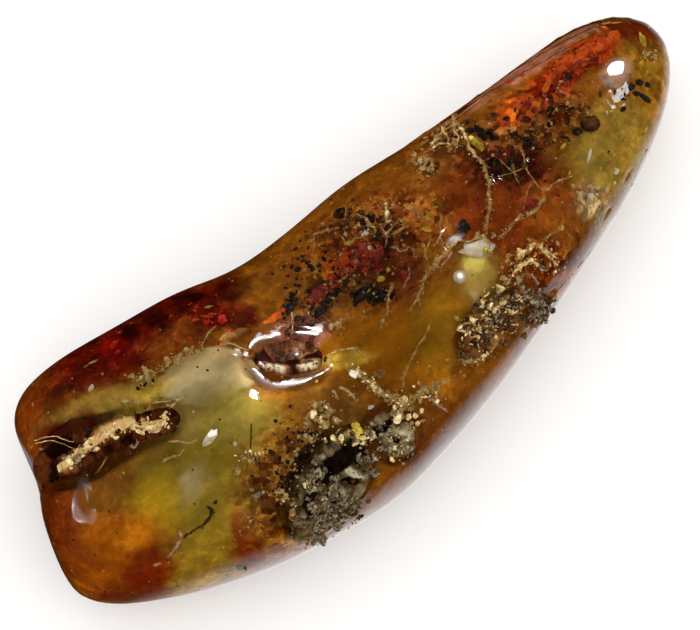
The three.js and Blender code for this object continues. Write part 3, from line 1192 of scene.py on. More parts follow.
@dataclass
class Litter:
    """One kind of matter sealed in or lodged on the amber, as bits and strands in one mesh."""

    name: str
    slot: str
    seed: int
    finish: Mottled
    strewn: tuple[Strew, ...] = ()
    strands: tuple[Strand, ...] = ()
    stray: Everywhere | None = None
    step_px: float = 1.6
    knots_mm: float = 0.35
    wander_size_mm: float = 0.9

    def build(self, skin: Skin) -> bpy.types.Object:
        """Lay all its bits and strands in their places.

        Args:
            skin: the pebble's skin.

        Returns:
            The piece.
        """
        heap = Heap(self.seed)
        for strew in self.strewn:
            self.lay_bits(heap, skin, strew)
        for strand in self.strands:
            self.lay_strand(heap, skin, strand)
        if self.stray:
            self.lay_everywhere(heap, skin, self.stray)
        return piece_of(self.name, heap.mesh(self.name), self.finish.build())

    def lay_bits(self, heap: Heap, skin: Skin, strew: Strew) -> None:
        """Lay the bits of one strew."""
        single = strew.count == 1
        turn = math.radians(strew.spread_turn_deg)
        for _ in range(strew.count):
            a = heap.chance.gauss(0, 0.5) * strew.spread_px[0]
            b = heap.chance.gauss(0, 0.5) * strew.spread_px[1]
            px = (
                strew.px[0] + a * math.cos(turn) - b * math.sin(turn),
                strew.px[1] - a * math.sin(turn) - b * math.cos(turn),
            )
            centre = skin.under(px, heap.chance.uniform(*strew.depth_mm))
            if centre is None:
                continue
            scale = strew.long_mm * (1 if single else heap.chance.choice(SIZES))
            lean = SINGLE_LEAN if single else STREWN_LEAN
            tilt = [math.radians(heap.chance.gauss(0, lean)) for _ in range(3)]
            turned = Euler(tilt).to_matrix() @ Matrix.Rotation(math.radians(strew.turn_deg), 3, "Z")
            reach = [r * scale * (1 if single else heap.chance.uniform(*STRETCH)) for r in strew.form.value]
            size = Matrix.Diagonal((reach[0], reach[1] * strew.width, reach[2]))
            axes = skin.view.frame @ turned @ size * MM
            level = strew.level if single or scale < FINE_MM else 2
            heap.lump(centre, np.array(axes.transposed()), strew.jag, level)

    def lay_strand(self, heap: Heap, skin: Skin, strand: Strand) -> None:
        """Lay one strand and its side hairs."""
        path = self.route(heap, skin, strand)
        if len(path) < 4:
            return
        share = np.linspace(0, 1, len(path))
        knots = 1 + strand.knots * fractal(path / MM, self.knots_mm, heap.chance.randrange(99), 2)
        ends = np.minimum(1, np.minimum(share, 1 - share) * 8 + strand.taper)
        slim = 1 - (1 - strand.taper) * share
        heap.tube(path, strand.radius_mm * MM * knots * ends * slim, 7)
        for _ in range(strand.hairs):
            at = heap.chance.randrange(1, len(path) - 1)
            self.lay_hair(heap, path[at], path[at] - path[at - 1], strand)
        length = np.linalg.norm(np.diff(path, axis=0), axis=1).sum() / MM
        for _ in range(round(strand.grit_per_mm * length)):
            at = path[heap.chance.randrange(len(path))]
            aside = Vector([heap.chance.gauss(0, 0.8) for _ in range(3)]) * strand.radius_mm * MM
            tilt = Euler([heap.chance.uniform(0, math.pi) for _ in range(3)]).to_matrix()
            size = (0.015 + strand.radius_mm * heap.chance.uniform(0.1, 0.45)) * MM
            heap.lump(Vector(at) + aside, np.array(tilt) * size, 0.9, 1)

    def route(self, heap: Heap, skin: Skin, strand: Strand) -> np.ndarray:
        """Find the points of a strand's centreline.

        Args:
            heap: gives the chances.
            skin: the pebble's skin.
            strand: the strand.

        Returns:
            Points some 0.1 mm apart, in metres, on a smooth and slightly wandering line.
        """
        corners = np.array(strand.route, dtype=float)
        steps = np.linalg.norm(np.diff(corners, axis=0), axis=1)
        way = np.concatenate([[0], np.cumsum(steps)])
        fine = np.linspace(0, way[-1], max(6, int(way[-1] / self.step_px)))
        line = np.stack([np.interp(fine, way, corners[:, i]) for i in range(2)], axis=1)
        for _ in range(2):
            line[1:-1] = (line[:-2] + 2 * line[1:-1] + line[2:]) / 4
        found = [skin.under(tuple(px), strand.depth_mm) for px in line]
        path = np.array([p for p in found if p is not None]).reshape(-1, 3)
        if not len(path):
            return path
        seed = heap.chance.randrange(99)
        stray = [fractal(path / MM, self.wander_size_mm, seed + k, 3) for k in range(3)]
        return path + np.stack(stray, axis=1) * strand.wander_mm * MM

    @staticmethod
    def lay_hair(heap: Heap, root: np.ndarray, along: np.ndarray, strand: Strand) -> None:
        """Lay one side hair of a strand.

        Args:
            heap: where it goes.
            root: where it leaves the strand.
            along: the strand's direction there.
            strand: the strand.
        """
        aside = np.array([heap.chance.gauss(0, 1) for _ in range(3)])
        heading = along / np.linalg.norm(along) * 0.8 + aside / np.linalg.norm(aside)
        length = strand.hair_mm * heap.chance.uniform(0.3, 1.2) * MM
        share = np.linspace(0, 1, 6)[:, None]
        bend = np.array([heap.chance.gauss(0, 0.3) for _ in range(3)])
        path = root + length * (heading * share + bend * share**2)
        heap.tube(path, min(strand.radius_mm, 0.08) * MM * np.linspace(0.45, 0.12, 6), 4)

    @staticmethod
    def lay_everywhere(heap: Heap, skin: Skin, spread: Everywhere) -> None:
        """Lay bits evenly under the whole skin."""
        spots, normals = MeshWork.points(skin.mesh), MeshWork.normals(skin.mesh)
        for _ in range(spread.count):
            at = heap.chance.randrange(len(spots))
            centre = spots[at] - normals[at] * heap.chance.uniform(*spread.depth_mm) * MM
            tilt = [heap.chance.uniform(0, math.pi) for _ in range(3)]
            scale = spread.long_mm * heap.chance.choice(STRAY_SIZES)
            size = Matrix.Diagonal([reach * scale for reach in spread.form.value])
            axes = Euler(tilt).to_matrix() @ size * MM
            heap.lump(Vector(centre), np.array(axes.transposed()), spread.jag, 1)


@dataclass(frozen=True)
class Pock:
    """A hole sunk in lodged matter and darkened with painted shade, at a place in the photograph."""

    what: str
    px: tuple[float, float]
    half_mm: tuple[float, float]
    turn_deg: float
    depth_mm: float


@dataclass(frozen=True)
class Ridge:
    """A pale crest of lodged matter, along places in the photograph."""

    what: str
    route: tuple[tuple[float, float], ...]
    half_mm: float
    height_mm: float
    pale: float = 0.5


@dataclass
class LodgedMatter:
    """Sediment or bark that fills an open pit and stands rough in it, in place of its plain solid."""

    name: str
    node: str
    slot: str
    finish: Mottled
    voxel_mm: float = 0.08
    swell_mm: float = 0.35
    rough_mm: float = 0.4
    rough_size_mm: float = 1.6
    grit_mm: float = 0.03
    grit_size_mm: float = 0.2
    seed: int = 1
    calm_rounds: int = 10
    pocks: tuple[Pock, ...] = ()
    ridges: tuple[Ridge, ...] = ()

    def build(self, skin: Skin) -> bpy.types.Object:
        """Swell the solid into the walls of its pit, roughen it, raise its crests and sink its holes. Its
        colour record holds painted shade: darker in its hollows and holes, paler on its lumps.

        Args:
            skin: the pebble's skin, which then knows the matter's top.

        Returns:
            The piece.
        """
        mesh = MeshWork.remeshed(frame["nodes"][self.node].data, self.voxel_mm)
        edges = MeshWork.edges(mesh)
        points = MeshWork.relaxed(MeshWork.points(mesh), edges, self.calm_rounds)
        MeshWork.place(mesh, points)
        normals = MeshWork.normals(mesh)
        top = smoothstep(0.2, 0.8, normals[:, 2])
        rough = fractal(points / MM, self.rough_size_mm, self.seed, 5)
        grit = fractal(points / MM, self.grit_size_mm, self.seed + 1, 2)
        height = (self.rough_mm * rough + self.grit_mm * grit) * (0.35 + 0.65 * top)
        height += self.swell_mm * (1 - top)
        lifted = np.zeros(len(points))
        # Painted shade: the matter is paler where its lumps rise and darker where they sink
        pale = LODGED_PALE + LUMPS_PAINTED_SHADE * rough + GRIT_PAINTED_SHADE * grit
        for ridge in self.ridges:
            away = skin.view.off_route(points, ridge.route) / ridge.half_mm
            crest = (1 - smoothstep(0.5, 1.3, away + 0.5 * rough + 0.3 * grit)) * top
            lifted += crest * ridge.height_mm
            pale += crest * ridge.pale
        # Painted shade: each hole is sunk and also painted darker
        for pock in self.pocks:
            reach = skin.view.reach(points, pock.px, pock.half_mm, pock.turn_deg)
            hole = (1 - smoothstep(0.4, 1.1, reach + 0.25 * rough)) * top
            lifted -= hole * pock.depth_mm
            pale -= hole
        points = points + normals * (height * MM)[:, None] + np.array(skin.view.back) * (lifted * MM)[:, None]
        MeshWork.place(mesh, points)
        mesh.attributes.new(RELIEF, "FLOAT", "POINT").data.foreach_set("value", np.clip(pale, 0, 1))
        mesh.shade_smooth()
        skin.lodged.append(BVHTree.FromPolygons(points.tolist(), [tuple(p.vertices) for p in mesh.polygons]))
        piece = piece_of(self.name, mesh, self.finish.build())
        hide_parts(self.node)
        return piece


# Charcoal, crushed: all but black, with a faint glint on its broken faces
CHARCOAL = Mottled("charcoal_crushed", ("#060403", "#120c08", "#2a1c12"), 0.5, 0.12, 0.03, 0.55, 0.4)

# Fossil bark, flaked: dull chocolate bits with a few tan edges
FLAKED_BARK = Mottled("fossil_bark_flaked", ("#22120a", "#4a2c12", "#7a5222"), 0.6, 0.15, 0.05, 0.7, 0.2)

# Resin, weathered to crumbs: cream and sugary, brown in its hollows
CRUMBLED_RESIN = Mottled(
    "resin_crumbs_weathered", ("#6e4a1c", "#b88e4c", "#e8cf96"), 0.3, 0.1, 0.04, 0.75, 0.2, 0.2
)

# Nacre, broken: smooth white chips that stay a little pearly; the same white also paints glints, as white
# specks set where highlights fall
NACRE_AND_PAINTED_GLINTS = Mottled("shell_nacre_and_painted_glints", ("#a8946c", "#d8cab0", "#fff6e8"), 0.6, 0.3, 0.015, 0.4, 0.4, 0.1)

# Resin, oxidised in scales: glowing orange plates with darker joints
ORANGE_SCALES = Mottled(
    "resin_scales_orange", ("#8a2004", "#bc3606", "#dc5a0c"), 0.5, 0.2, 0.03, 0.5, 0.3, 0.3
)

# Resin, oxidised deeper: dull crimson flakes with rusty edges
CRIMSON_FLAKES = Mottled(
    "resin_flakes_crimson", ("#3a0806", "#6e180e", "#984028"), 0.35, 0.14, 0.04, 0.5, 0.3, 0.3
)

# Resin, cracked by stress: small smooth mirrors of pure red
RED_CRACKS = Mottled("resin_cracks_red", ("#8a0404", "#c81008", "#f03a1c"), 0.3, 0.3, 0.01, 0.3, 0.5, 0.3)

# Resin, young and milky: matte yellow chips with olive shades
YELLOW_CHIPS = Mottled(
    "resin_chips_yellow", ("#6e560e", "#a08018", "#ccae3c"), 0.45, 0.2, 0.03, 0.5, 0.3, 0.2
)

# Rootlets, dried: pale straw fibre, browner where it is knotted
ROOT_FIBRE = Mottled("rootlets_dried", ("#5e3a14", "#9c6e34", "#dab476"), 0.3, 0.1, 0.04, 0.8, 0.15, 0.2)

# Twig, blackened in the ground: near black, with olive-brown worn places
BLACK_TWIG = Mottled("twig_blackened", ("#160d05", "#3a2a10", "#68501e"), 0.4, 0.12, 0.04, 0.7, 0.2)

# Rootlet skin, peeled: thin pink curls with a satin side
PINK_SKIN = Mottled("rootlet_skin_pink", ("#6e3c2e", "#a8705c", "#d8ae98"), 0.3, 0.1, 0.03, 0.6, 0.3, 0.2)

# Air, trapped as bubbles: shiny beads that pick up the amber's brown
BUBBLE = Mottled("bubble_wall_mirrored", ("#3a2410", "#6e4e26", "#b09a74"), 0.5, 0.4, 0.0, 0.06, 1.0)

# Silt, crumbled: dull grey-brown grains of many shades
LOOSE_SILT = Mottled(
    "silt_crumbled", ("#1c1006", "#54422a", "#86785e", "#c0b498"), 0.22, 0.08, 0.03, 0.9, 0.05
)

# Silt, cemented: rough grey matter, pale on its crests; its near-black brown is painted shade in its holes
# and hollows
CEMENTED_SILT = Mottled(
    "silt_cemented", ("#1c1005", "#4c3a1c", "#786a50", "#b8aa8a"), 0.35, 0.1, 0.05, 0.9, 0.05, by_relief=0.75
)

# Silt, cemented round a knob: the same matter, chalkier, with the same painted shade in its holes and hollows
PALE_SILT = Mottled(
    "silt_cemented_pale", ("#241407", "#62482a", "#8a7a58", "#bdb08e"), 0.35, 0.1, 0.05, 0.9, 0.05,
    by_relief=0.75
)

# Fossil bark, bleached: cream crest over walls of dark red-brown; its near-black shade is painted shade in
# its holes and hollows
BLEACHED_BARK = Mottled(
    "fossil_bark_bleached", ("#1c0501", "#5e2a0a", "#96642c", "#d0ab70"), 0.3, 0.1, 0.05, 0.9, 0.05,
    by_relief=0.85
)

# Fossil bark, split in plates: reddish hollows under ivory plates, with their darkest red-brown as painted
# shade in the holes between the plates
SPLIT_BARK = Mottled(
    "fossil_bark_split", ("#3c1409", "#804a28", "#b88c62", "#f0dcb6"), 0.25, 0.08, 0.04, 0.8, 0.05,
    by_relief=0.75
)

# Resin crust, weathered: granular brown with a cream crest, darker in its hollows by painted shade
CRUST = Mottled(
    "resin_crust_weathered", ("#3a1c0a", "#744820", "#98703f", "#ccb080"), 0.3, 0.1, 0.05, 0.9, 0.05,
    by_relief=0.75
)

GRAINS = (
    Strew("specks by the far edge", (300, 262), 0.093, 29, (26, 30), 35),
    bit("speck pair by the far edge", (300, 241), 0.15, 70),
    bit("speck under the pair", (308, 248), 0.17, 60, width=2.2, form=SPLINTER),
    bit("speck beside teal", (325, 252), 0.2),
    Strew("specks in a row", (314, 268), 0.111, 16, (22, 5), -12),
    bit("lone speck above the eye", (292, 267), 0.17, 60),
    bit("second lone speck", (288, 276), 0.14),
    Strew("chain down to the eye", (294, 293), 0.128, 25, (8, 22), -25),
    Strew("clot at the chain's foot", (289, 304), 0.22, 7, (8, 6)),
    Strew("specks under the flake", (306, 300), 0.102, 22, (18, 8)),
    Strew("dark glare grains", (322, 308), 0.128, 40, (18, 10), 30),
    Strew("grains above the highlight", (306, 322), 0.119, 32, (22, 8), 25),
    Strew("grains by the teal corner", (284, 327), 0.102, 14, (8, 8)),
    Strew("middle specks", (338, 290), 0.093, 40, (28, 18), 20),
    Strew("dark clot", (376, 294), 0.306, 16, (16, 8), depth_mm=(0.3, 0.9)),
    bit("black clot core", (378, 298), 0.5, -10, (0.5, 0.6), width=0.7, jag=0.9),
    bit("black notch above the clot", (370, 285), 0.3, depth_mm=(0.3, 0.4), jag=0.9),
    Strew("specks right of the red", (385, 250), 0.102, 47, (22, 26)),
    Strew("specks round the curls", (375, 222), 0.093, 47, (40, 20)),
    Strew("top specks", (349, 210), 0.16, 5, (10, 4)),
    bit("tip lump one", (640, 83), 0.34, width=0.9, jag=0.8),
    bit("tip lump two", (648, 84), 0.26, jag=0.8),
    bit("tip lump three", (636, 94), 0.28, jag=0.8),
    bit("tip lump four", (645, 98), 0.5, -18, width=0.6, jag=0.6),
    Strew("tip grains in the glare", (622, 94), 0.111, 25, (16, 12)),
    bit("dark spot by the scales", (568, 77), 0.3, jag=0.8),
    bit("clot by the root", (478, 129), 0.42, -20, width=0.7, jag=0.9),
    Strew("clot grains", (482, 132), 0.17, 22, (16, 9), -25),
    bit("small clot", (506, 118), 0.24, width=0.7),
    bit("dark grain one", (514, 134), 0.28, 60, width=0.7),
    bit("dark grain two", (526, 139), 0.26),
    bit("dark grain three", (548, 124), 0.2, 80, width=0.6),
    Strew("dark dashes", (546, 112), 0.26, 4, (14, 4), turn_deg=8, form=SPLINTER),
    Strew("loose grains in the tip", (536, 135), 0.102, 61, (44, 26), 30),
    Strew("dark grains in the hollow", (500, 168), 0.119, 40, (24, 14), -20),
    Strew("teal hollow grains", (462, 228), 0.153, 18, (9, 9)),
    Strew("cleft specks", (96, 430), 0.085, 16, (22, 6), 25),
    Strew("cleft wall grains", (86, 432), 0.16, 7, (9, 5), depth_mm=(-0.1, 0.2)),
    Strew("edge specks of the lens", (148, 383), 0.085, 14, (14, 3), 25),
    bit("small debris", (227, 575), 0.18, 20, width=0.6),
    Strew("dirt grains left of the pit", (290, 470), 0.093, 83, (42, 46), 40),
    Strew("dirt specks by the crust", (300, 440), 0.085, 47, (26, 18)),
    Strew("right dirt specks", (500, 320), 0.102, 47, (26, 18), 45),
    Strew("pit edge grains", (352, 452), 0.145, 29, (16, 22), depth_mm=(-0.2, 0.3)),
)

BROWN_BITS = (
    bit("round brown blob", (590, 124), 0.62, 15, (0.7, 0.8), jag=0.3, level=2),
    bit("blob's tail", (577, 131), 0.36, 20, (0.7, 0.8), jag=0.4),
    flake("olive dirt", (243, 567), 0.42, -30, width=1.2, jag=0.9, level=2),
    bit("dark line on the edge crust", (205, 343), 0.3, 60, form=SPLINTER),
    flakes("brown dashes in the dirt", (292, 468), 0.187, 57, (40, 42), 40),
    flakes("brown flakes by the red", (345, 275), 0.17, 40, (30, 18)),
    Strew("brown grains round the curls", (365, 225), 0.17, 66, (44, 22)),
    flakes("brown flakes in the tip", (540, 120), 0.187, 57, (46, 26), 30),
    Strew("grains in the hollow", (512, 170), 0.136, 40, (26, 16)),
    Strew("grains on the right crust", (494, 320), 0.17, 110, (38, 20), 45, depth_mm=(-0.05, 0.1)),
    Strew("bark grains of the pit", (340, 510), 0.15, 70, (30, 36), depth_mm=(-0.05, 0.08), jag=0.8),
    Strew("bark grains of the near rim's dent", (541, 308), 0.17, 60, (12, 22), -35, depth_mm=(-0.05, 0.1)),
    Strew("rootlet ends", (450, 135), 0.136, 40, (22, 14)),
    flakes("eye litter", (292, 360), 0.136, 66, (40, 12), depth_mm=(-0.05, 0.03)),
)

CRUMBS = (
    Strew("big crumb cluster", (324, 413), 0.144, 55, (16, 14), depth_mm=(0.1, 0.6), jag=0.8),
    Strew("left crumbs", (309, 424), 0.122, 28, (9, 10), depth_mm=(0.1, 0.5), jag=0.8),
    Strew("low crumbs", (315, 437), 0.115, 18, (9, 5), depth_mm=(0.1, 0.4), jag=0.8),
    Strew("pit crown", (348, 436), 0.126, 69, (24, 11), depth_mm=(-0.1, 0.4), jag=0.8),
    Strew("crumbs right of the crown", (362, 438), 0.122, 32, (12, 8), depth_mm=(-0.1, 0.3)),
    Strew("pit's left crumbs", (308, 478), 0.13, 32, (9, 10), depth_mm=(0.0, 0.4), jag=0.8),
    Strew("row of crumbs one", (281, 494), 0.115, 18, (9, 5), depth_mm=(0.1, 0.4)),
    Strew("row of crumbs two", (293, 508), 0.115, 21, (5, 10), depth_mm=(0.1, 0.4)),
    Strew("low crumb", (295, 538), 0.14, 5, (6, 4)),
    Strew("white dots in the dirt", (277, 448), 0.12, 4, (4, 4)),
    Strew("crumbs over the dirt", (290, 465), 0.079, 78, (44, 44), 40),
    Strew("ring arc crumbs", (262, 492), 0.086, 23, (16, 6)),
    Strew("red patch crumbs", (252, 523), 0.072, 21, (12, 12)),
    Strew("lobe by the slit", (397, 419), 0.32, 5, (10, 5), depth_mm=(0.0, 0.3), jag=0.7),
    Strew("lobe beyond the slit", (410, 416), 0.26, 6, (8, 5), depth_mm=(0.0, 0.3), jag=0.7),
    Strew("crumbs off the knob", (418, 424), 0.094, 21, (12, 8), depth_mm=(0.0, 0.3)),
    Strew("knob rim", (398, 444), 0.0864, 39, (20, 22), depth_mm=(-0.08, 0.05), jag=0.8),
    Strew("ridge tail", (405, 405), 0.104, 41, (14, 9), depth_mm=(0.0, 0.4), jag=0.8),
    Strew("right crust one", (424, 393), 0.115, 41, (16, 9), depth_mm=(0.0, 0.5), jag=0.8),
    Strew("right crust two", (436, 402), 0.122, 23, (10, 8), depth_mm=(0.1, 0.5), jag=0.8),
    Strew("right crust line", (438, 384), 0.108, 32, (20, 4), 25, jag=0.8),
    flakes("notch crust over all", (488, 322), 0.14, 200, (36, 18), 45, depth_mm=(-0.04, 0.06), jag=0.9),
    Strew("notch crust left", (476, 322), 0.101, 60, (16, 14), depth_mm=(0.0, 0.5), jag=0.8),
    Strew("notch crust top", (497, 308), 0.101, 60, (18, 14), depth_mm=(0.0, 0.4), jag=0.8),
    Strew("notch crust foot", (490, 337), 0.092, 28, (12, 6), depth_mm=(0.0, 0.4), jag=0.8),
    Strew("stray pair under the notch", (466, 344), 0.12, 5, (5, 4)),
    Strew("crust up to the lump", (508, 280), 0.0976, 64, (12, 24), -25, jag=0.8),
    Strew("fibrous lump grit", (533, 256), 0.0854, 106, (30, 18), depth_mm=(0.0, 0.5), jag=0.8),
    Strew("nodule crown", (481, 240), 0.108, 37, (20, 7), 15, jag=0.8),
    Strew("root crown", (444, 135), 0.108, 78, (24, 18), 20, jag=0.8),
    Strew("whitish crust", (424, 163), 0.13, 46, (12, 16), 20, jag=0.8),
    Strew("gold bits of the tip", (650, 56), 0.094, 28, (10, 7)),
    Strew("star cluster grit", (589, 198), 0.101, 37, (18, 16)),
    Strew("tan curls' grit", (368, 222), 0.086, 138, (54, 24)),
    Strew("field grit", (335, 280), 0.065, 138, (70, 48), 30),
    Strew("tip grit", (545, 120), 0.072, 138, (80, 34), 35),
    Strew("lens edge crust", (172, 361), 0.108, 92, (30, 5), 32, jag=0.8),
    Strew("lens edge crust high", (186, 354), 0.086, 51, (16, 3), 20, jag=0.8),
    Strew("brown patch grit", (141, 377), 0.115, 51, (18, 10), 25, jag=0.8),
    Strew("cleft ridge low", (72, 459), 0.12, 50, (20, 6), 42, depth_mm=(-0.08, 0.03), jag=0.8),
    flakes("cleft ridge middle", (96, 442), 0.14, 60, (28, 6), 36, depth_mm=(-0.08, 0.03), jag=0.8),
    flakes("cleft ridge high", (128, 427), 0.14, 60, (28, 6), 20, depth_mm=(-0.08, 0.03), jag=0.8),
    Strew("cleft ridge end", (154, 426), 0.0951, 30, (20, 4), 10, depth_mm=(-0.08, 0.03), jag=0.8),
    Strew("golden tuft", (249, 457), 0.094, 46, (12, 7), depth_mm=(0.0, 0.3), jag=0.8),
    Strew("tuft's left bit", (241, 462), 0.1, 5, (5, 4)),
    Strew("crumbs of the field", (338, 325), 0.13, 14, (7, 6), jag=0.8),
    Strew("crumb by the tuft", (239, 471), 0.15, 6, (6, 5)),
)

CRUMBS_RIDGES = (
    Strand(
        "crust ridge", ((350, 371), (362, 376), (373, 389), (388, 396), (402, 402), (411, 407)), 0.18, 0.25,
        0.25, 0.9, grit_per_mm=70
    ),
    Strand(
        "crust ridge's edge", ((371, 383), (380, 392), (395, 396), (404, 398)), 0.14, 0.1, 0.3, 0.9,
        grit_per_mm=70
    ),
    Strand(
        "cream lip", ((462, 357), (470, 360), (480, 357), (486, 350), (491, 344)), 0.16, 0.3, 0.15, 0.6,
        grit_per_mm=70
    ),
    Strand("curved shell", ((339, 387), (345, 389), (352, 395), (356, 400)), 0.12, 0.2, 0.05, 0.2),
    Strand("shell behind", ((332, 390), (336, 393), (337, 398)), 0.1, 0.2, 0.05, 0.2),
    Strand(
        "eye's right line", ((328, 355), (340, 350), (356, 347), (366, 358), (367, 362)), 0.08, 0.15, 0.06,
        0.4
    ),
    Strand("eye's left line", ((246, 350), (236, 345), (224, 341)), 0.09, 0.15, 0.08, 0.4),
    Strand(
        "cleft cream lobe", ((146, 427), (153, 429), (160, 426), (165, 421), (166, 415)), 0.16, -0.1, 0.12,
        0.6, grit_per_mm=70
    ),
    Strand("splinter one", ((150, 398), (158, 395), (166, 396)), 0.09, 0.3, 0.06, 0.4),
    Strand("splinter two", ((163, 413), (172, 405), (186, 396)), 0.11, 0.3, 0.08, 0.5),
    Strand("splinter three", ((150, 405), (146, 414), (143, 420)), 0.06, 0.3, 0.05, 0.3),
    Strand("splinter four", ((152, 403), (166, 402), (178, 398)), 0.06, 0.3, 0.05, 0.3),
    Strand("cream streak", ((120, 402), (131, 401), (143, 403)), 0.16, 0.5, 0.08, 0.5),
    Strand(
        "thin line under the lens", ((168, 442), (180, 441), (192, 443), (198, 438)), 0.06, 0.3, 0.08, 0.5
    ),
    Strand("faint shape", ((163, 462), (172, 456), (181, 455), (184, 450)), 0.1, 0.4, 0.08, 0.6),
)

# Pale flakes of shell; the eye glint, the white chip by the ridge and the stray glints are painted
# highlights, white specks where glints fall
PALE_FLAKES = (
    flake("white flake", (210, 438), 0.66, 52, (0.1, 0.12), width=0.62, jag=0.45, level=2),
    bit("white ball by the nodule", (460, 277), 0.44, 0, (0.4, 0.45), jag=0.08, level=3, form=BALL),
    flake("nodule's white plate", (478, 249), 1.05, 15, (0.3, 0.35), width=0.7, jag=0.35, level=3),
    flake("white flake's neighbour", (235, 444), 0.2, 100, (0.1, 0.12), width=1.0, jag=0.4),
    flake("white speck by the lens", (178, 400), 0.18, 30),
    flake("left lobe flake", (91, 388), 0.32, 70, (0.3, 0.4), width=0.7, jag=0.6),
    flake("eye glint", (262, 365), 0.36, -38, (-0.05, 0.0), width=0.5, jag=0.4),
    flake("eye chip", (297, 354), 0.14, 20, (-0.05, 0.0)),
    # Painted highlight: a white chip set where a glint falls
    bit("white chip by the ridge", (354, 374), 0.3, -10, (0.0, 0.05), jag=0.9, level=2),
    flake("pale blob", (371, 407), 0.26, 20, (0.3, 0.4), width=0.8),
    Strew("white bits in the curls", (361, 231), 0.16, 4, (8, 5)),
    bit("white bit by orange", (354, 276), 0.13),
    Strew("star", (589, 197), 0.2, 12, (11, 10), depth_mm=(0.3, 0.6), jag=0.9),
    flake("veil by the star", (589, 156), 0.56, 75, (0.6, 0.7), width=0.35, jag=0.4),
    bit("veil above", (616, 171), 0.26, 60, (0.4, 0.5), jag=0.5),
    flakes("pale spots of the tip", (612, 190), 0.18, 5, (14, 12)),
    bit("white bit at the tip", (649, 27), 0.16, 80, form=SPLINTER),
    Strew("white bits of the field", (338, 300), 0.072, 19, (60, 40)),
    Strew("pale grit in the dirt", (300, 450), 0.072, 29, (46, 50)),
)

SCALES = (
    flake("tip scale one", (613, 38), 0.72, 50, (0.5, 0.7), width=0.8, jag=0.5, level=2),
    flake("tip scale two", (603, 44), 0.6, 70, (0.6, 0.8), width=0.8, jag=0.6, level=2),
    flake("tip scale three", (590, 50), 0.85, 30, (0.6, 0.8), width=0.8, jag=0.6, level=2),
    flake("tip scale four", (580, 60), 0.66, 60, (0.5, 0.8), jag=0.6, level=2),
    flake("tip scale five", (567, 64), 0.8, 20, (0.5, 0.8), width=0.9, jag=0.6, level=2),
    flake("tip scale six", (557, 74), 0.6, 60, (0.5, 0.7), width=0.7, jag=0.6, level=2),
    flake("tip scale seven", (547, 86), 0.5, 70, (0.5, 0.7), width=0.6, jag=0.6, level=2),
    flakes("small tip scales", (582, 56), 0.198, 38, (44, 13), 38),
    flake("low scale", (514, 109), 0.56, 80, (0.5, 0.7), width=0.8, jag=0.6, level=2),
    flake("low scale's foot", (506, 126), 0.42, 40, (0.5, 0.7), jag=0.6),
    flake("red scale", (529, 113), 0.26, 70, (0.3, 0.5)),
    flakes("small low scales", (520, 118), 0.144, 26, (26, 14), 30),
    flake("flake by the eye", (275, 317), 0.6, 38, (0.4, 0.5), width=0.5, jag=0.6, level=2),
    flake("flake's upper bit", (284, 309), 0.22, 50, (0.3, 0.4)),
    flake("flake's lower bit", (266, 322), 0.2, 20, (0.3, 0.4)),
    flake("orange patch", (333, 271), 0.62, 60, (0.5, 0.6), width=0.9, jag=0.6, level=2),
    flakes("orange bits", (340, 268), 0.135, 22, (18, 10)),
    flakes("stray orange bits", (350, 255), 0.108, 35, (60, 40)),
    flake("yellow-orange glint", (195, 320), 0.24, 10, (0.3, 0.4), width=0.7),
    Strew("orange streak in the red", (205, 312), 0.2, 6, (22, 10), turn_deg=25, form=SPLINTER),
    flakes("tip edge bits", (500, 88), 0.126, 22, (40, 5), 35),
)

CRIMSON = (
    flake("red patch", (366, 254), 1.05, 20, (0.5, 0.6), width=0.95, jag=0.5, level=3),
    flakes("red patch bits", (366, 256), 0.198, 39, (22, 18), depth_mm=(0.2, 0.5)),
    flake("pink patch", (346, 273), 0.5, 30, (0.4, 0.6), jag=0.5),
    flake("brown-red scale", (318, 295), 0.85, 28, (0.45, 0.55), width=0.75, jag=0.4, level=2),
    flake("second brown-red scale", (333, 285), 0.5, 30, (0.4, 0.6), jag=0.5),
    flakes("bits by the fibre", (396, 290), 0.18, 21, (16, 22), 60),
    flakes("flakes in the tip", (560, 88), 0.306, 18, (50, 14), 35),
    flakes("flakes under the root", (515, 205), 0.27, 24, (44, 22)),
    flakes("left red bits", (110, 340), 0.144, 14, (20, 12)),
)

SPARKS = (
    flake("bright spark", (196, 307), 0.24, 60, (0.25, 0.3), jag=0.6),
    flake("spark's wing", (190, 304), 0.2, 20, (0.3, 0.4), width=0.5),
    flake("right spark", (238, 307), 0.26, 10, (0.3, 0.4), width=0.5),
    flakes("small sparks", (225, 315), 0.08, 18, (36, 20)),
    flake("left red glow", (114, 345), 0.42, 60, (1.0, 1.1), width=0.8, jag=0.4, level=2),
    flake("left red glow below", (118, 352), 0.3, 80, (1.0, 1.1), jag=0.4),
    flake("edge glow", (119, 332), 0.3, 30, (0.9, 1.0), width=0.6, jag=0.4),
    flakes("band of glow", (212, 318), 0.24, 9, (26, 7), turn_deg=20, depth_mm=(0.6, 1.0)),
    flakes("dim sparks", (170, 345), 0.12, 16, (50, 16), 25),
)

